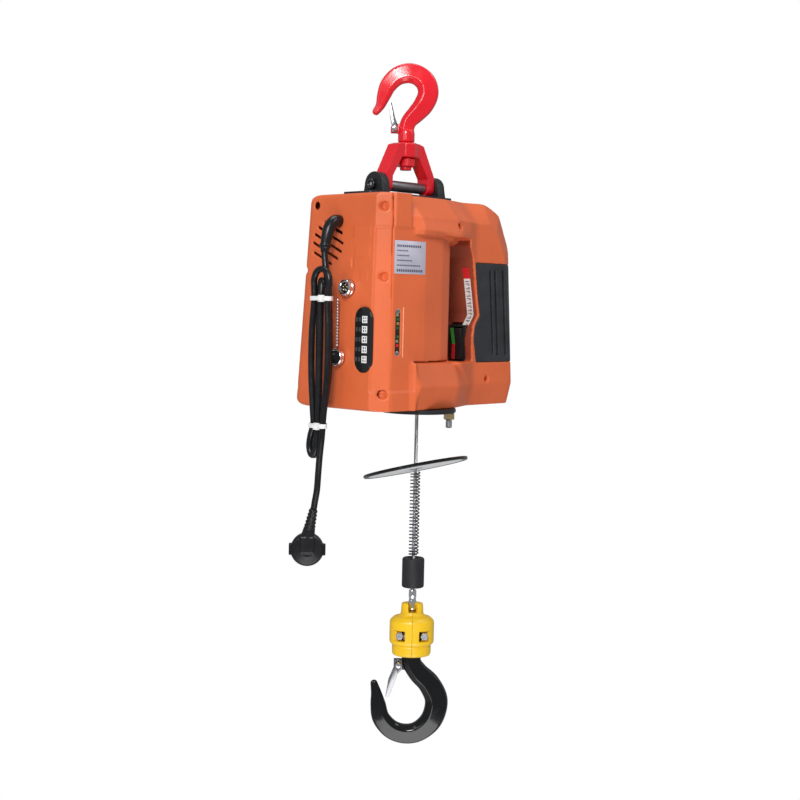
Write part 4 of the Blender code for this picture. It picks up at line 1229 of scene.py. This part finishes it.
def make_window():
    """The dark level window, with a column of plain white marks and a faint grid printed on it."""
    panel = softened("window_panel", "level_window", WINDOW, 0.7, 3)
    done(panel, "housing", "black_plastic", "window_panel")
    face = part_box("window_panel")[0].x / MM
    marks = []
    for row in range(5):
        z = -283 - 11.4 * row
        marks += [mark(face, 0.12, y, 0.85, z, 4, INK_WHITE) for y in (-46.2, -43.2, -39.6)]
        marks += [mark(face, 0.14, -42.9, 4.1, z + step, 0.6, INK_WHITE) for step in (-3.4, 0, 3.4)]
        marks += [mark(face, 0.1, y, 1.6, z, 2.4, INK_GREY) for y in (-35, -30)]
    done(joined("level_window_marks", marks), "housing", "black_plastic")


def make_labels():
    """The data plate, with plain generic lines in place of writing."""
    parts = [block("plate", (-84, PANEL_Y - 0.6, -230), (-32.6, PANEL_Y - 0.1, -192), LABEL, 0.1)]
    left = -80
    for row, (length, thick) in enumerate(((40, 1.9), (18, 1.1), (20, 1.1), (25, 1.1), (38, 1.1), (42, 2.1))):
        z = -197.5 - 5.6 * row
        step = 3.1 if row in (0, 5) else 2.3
        x = left
        while x < left + length:
            low, high = (x, PANEL_Y - 0.7, z - thick), (x + step * 0.62, PANEL_Y - 0.4, z + thick * 0.4)
            parts.append(block("mark", low, high, PRINT))
            x += step
    done(joined("data_plate", parts), "housing", "orange_nylon")


def make_board():
    """The board behind the slot: a row of small lamps and parts, with a slotted screw at each end."""
    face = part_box("control_board")[0].y / MM
    mats = (LAMP, GREEN_PART, BRASS, GREEN_PART, BLACK, GREEN_PART, LAMP, STICKER_RED, BLACK)
    parts = []
    for k, mat in enumerate(mats):
        z = -277 - 5 * k
        low, high = (-77 + (k % 2), face - 1.6, z - 1.7), (-73.6 + (k % 3) * 0.5, face + 0.2, z + 1.5)
        parts.append(block("part", low, high, mat, 0.3))
    for z in (-272.4, -321.6):
        parts.append(rod("head", 3.4, face - 1.8, face + 0.2, STEEL, "Y", (-75.4, z), 32, 0.5))
        parts.append(block("slot", (-78, face - 1.9, z - 0.4), (-72.8, face - 1.2, z + 0.4), BLACK))
    done(joined("board_parts", parts), "housing", "circuit_board")
    # The rib itself stands proud; its lighter colour is a painted highlight along its edge.
    rib = block("rib", (-67.6, PANEL_Y - 0.7, -326), (-66.4, PANEL_Y + 0.6, -268), ORANGE_RIB_PAINTED_HIGHLIGHT, 0.4)
    done(rib, "housing", "orange_nylon")


INNER_WALL = ((-205, 72), (-228, 78.5), (-257, 84), (-276, 87.4), (-289, 78.6))  # Z, then X
STICKER_TOP, STICKER_ROW, STICKER_ROWS, RED_ROWS = -218, 1.5, 47, 9


def inner_wall_x(z):
    """The X of the handle's inner face."""
    for (z0, x0), (z1, x1) in zip(INNER_WALL, INNER_WALL[1:]):
        if z >= z1:
            return x0 + (x1 - x0) * (z - z0) / (z1 - z0)
    return INNER_WALL[-1][1]


def make_sticker():
    """A thin red and white sticker on the handle's inner face, with plain lines in place of writing."""
    parts = []
    for k in range(STICKER_ROWS):
        top = STICKER_TOP - STICKER_ROW * k
        bottom = top - STICKER_ROW
        mat = STICKER_RED if k < RED_ROWS else STICKER_WHITE
        parts.append(sticker_row(top, bottom, -38.5, -28.5, mat, 0.9))
        if k > RED_ROWS + 1 and k % 3:
            parts.append(sticker_row(top, bottom + 0.7, -37, -34 + 3.5 * (k % 2), PRINT, 1.1))
    done(joined("handle_sticker", parts), "housing", "orange_nylon")


def sticker_row(top, bottom, y0, y1, mat, proud):
    bm = bmesh.new()
    corners = []
    for depth in (proud, 0.2):
        for z in (top, bottom):
            corners += [bm.verts.new((inner_wall_x(z) - depth, y, z)) for y in (y0, y1)]
    for face in ((0, 1, 3, 2), (4, 5, 7, 6), (0, 1, 5, 4), (2, 3, 7, 6), (0, 2, 6, 4), (1, 3, 7, 5)):
        bm.faces.new([corners[i] for i in face])
    return from_bmesh("row", bm, mat)


def make_switch():
    """The rocker, green above and red below along its inner edge, in its black frame."""
    frame_piece = softened("switch_frame", "switch_bezel", BLACK, 0.5)
    done(frame_piece, "housing", "black_plastic", "switch_frame")
    split, middle, low_end, high_end = -18.5, -312, -345, -280
    zones = (("up", GREEN, (split, 60), (middle, high_end)),
             ("down", SWITCH_RED, (split, 60), (low_end, middle)),
             ("side", BLACK, (-90, split), (low_end, high_end)))
    parts = []
    for name, mat, (near, far), (low, high) in zones:
        rocker = softened("rocker", f"rocker_{name}", mat, 0.6)
        keep = block("keep", (0, near, low), (120, far, high), mat)
        parts.append(combine(rocker, [keep], "INTERSECT"))
    done(joined("rocker_two_colour", parts), "rocker", "rocker_plastic", "rocker")


def make_boot():
    """The tapered strain relief, from the casing round to the lead, with a collar near its end."""
    y, z = BOOT_EXIT
    path = [(-101.6, y, z, 7.4), (-108, y, z - 0.8, 7.6), (-114.5, y, z - 6, 7.4)]
    path += [(-118.5, y + 0.3, z - 15, 6.9), (-120.6, y + 0.8, z - 25, 6.2), (-121.6, 9, -202, 5.4)]
    path += [(*CORD_EXIT, 4.7)]
    samples = [(-96, y, z, 5.4), (-101.3, y, z, 5.4)] + smooth_path(path, 60)
    for sample in samples[2:]:
        if -201.5 < sample[2] < -197.5:
            sample[3] += 0.9
    boot = tube("strain_relief_boot", samples, 1.0, JACKET, 10, [p[3] for p in samples])
    done(melted(boot, 0.6, 3), "housing", "rubber", "cord_boot")


PLUNGER_XY = (27.5, -55.5)


def make_rope_exit():
    """The flange that the rope leaves through, and the limit switch's nut and plunger beside it."""
    profile = [(6.3, -393.9), (43, -393.9), (45.6, -393.4), (46.8, -392.2), (47, -390.8), (46.6, -388.5)]
    profile += [(18, -388.4), (17.6, -380.4), (6.3, -380.4)]
    flange = lathe("rope_exit_flange", profile, BLACK, ROPE_XY, 128)
    cut(flange, rod("hole", 4.4, -400, -370, BLACK, centre=PLUNGER_XY))
    done(flange, "housing", "black_steel", "rope_flange")
    profile = [(0, -402), (5.9, -402), (6.6, -401.3), (6.6, -395), (5.9, -394.4), (0, -394.4)]
    nut = lathe("limit_hex_nut", profile, BRASS, PLUNGER_XY, 6)
    cut(nut, rod("bore", 4.3, -410, -390, BRASS, centre=PLUNGER_XY))
    done(nut, "housing", "brass", "limit_nut")
    profile = [(0, -412), (2.9, -412), (3.8, -411), (3.8, -404), (3.5, -403.6), (3.5, -402.8)]
    profile += [(3.8, -402.4), (3.8, -372.4), (3.4, -372), (0, -372)]
    done(lathe("limit_switch_plunger", profile, STEEL, PLUNGER_XY, 64), "plunger", "steel", "limit_plunger")


def finish_cad_nodes():
    """Gives each CAD node that still shows its own material."""
    steel = ("bail_pin", "drum", "drum_gear", "drum_axle", "idler_gear", "frame_plate_left",
             "frame_plate_right", "load_hook_nut")
    wanted = dict.fromkeys(steel, STEEL)
    wanted |= dict.fromkeys(("rope_guide", "plug_pin_left", "plug_pin_right"), BRASS)
    wanted |= {"control_board": BOARD, "rope_winding": WIRE, "motor_case": BLACK_METAL, "motor_rotor": COPPER}
    wanted |= {"cooling_fan": BLACK}
    for name, mat in wanted.items():
        one_material(NODES[name], mat)


# ---- run

make_camera()
make_stage()
make_cord()
make_end_cover()
make_shells()
make_grip()
make_top_hook()
make_load_hook()
make_wire_rope()
make_spring()
make_limit_plate()
make_bumper()
make_bail()
make_ears()
make_latches()
make_hook_cover()
make_connector()
make_window()
make_labels()
make_board()
make_sticker()
make_switch()
make_boot()
make_rope_exit()
finish_cad_nodes()
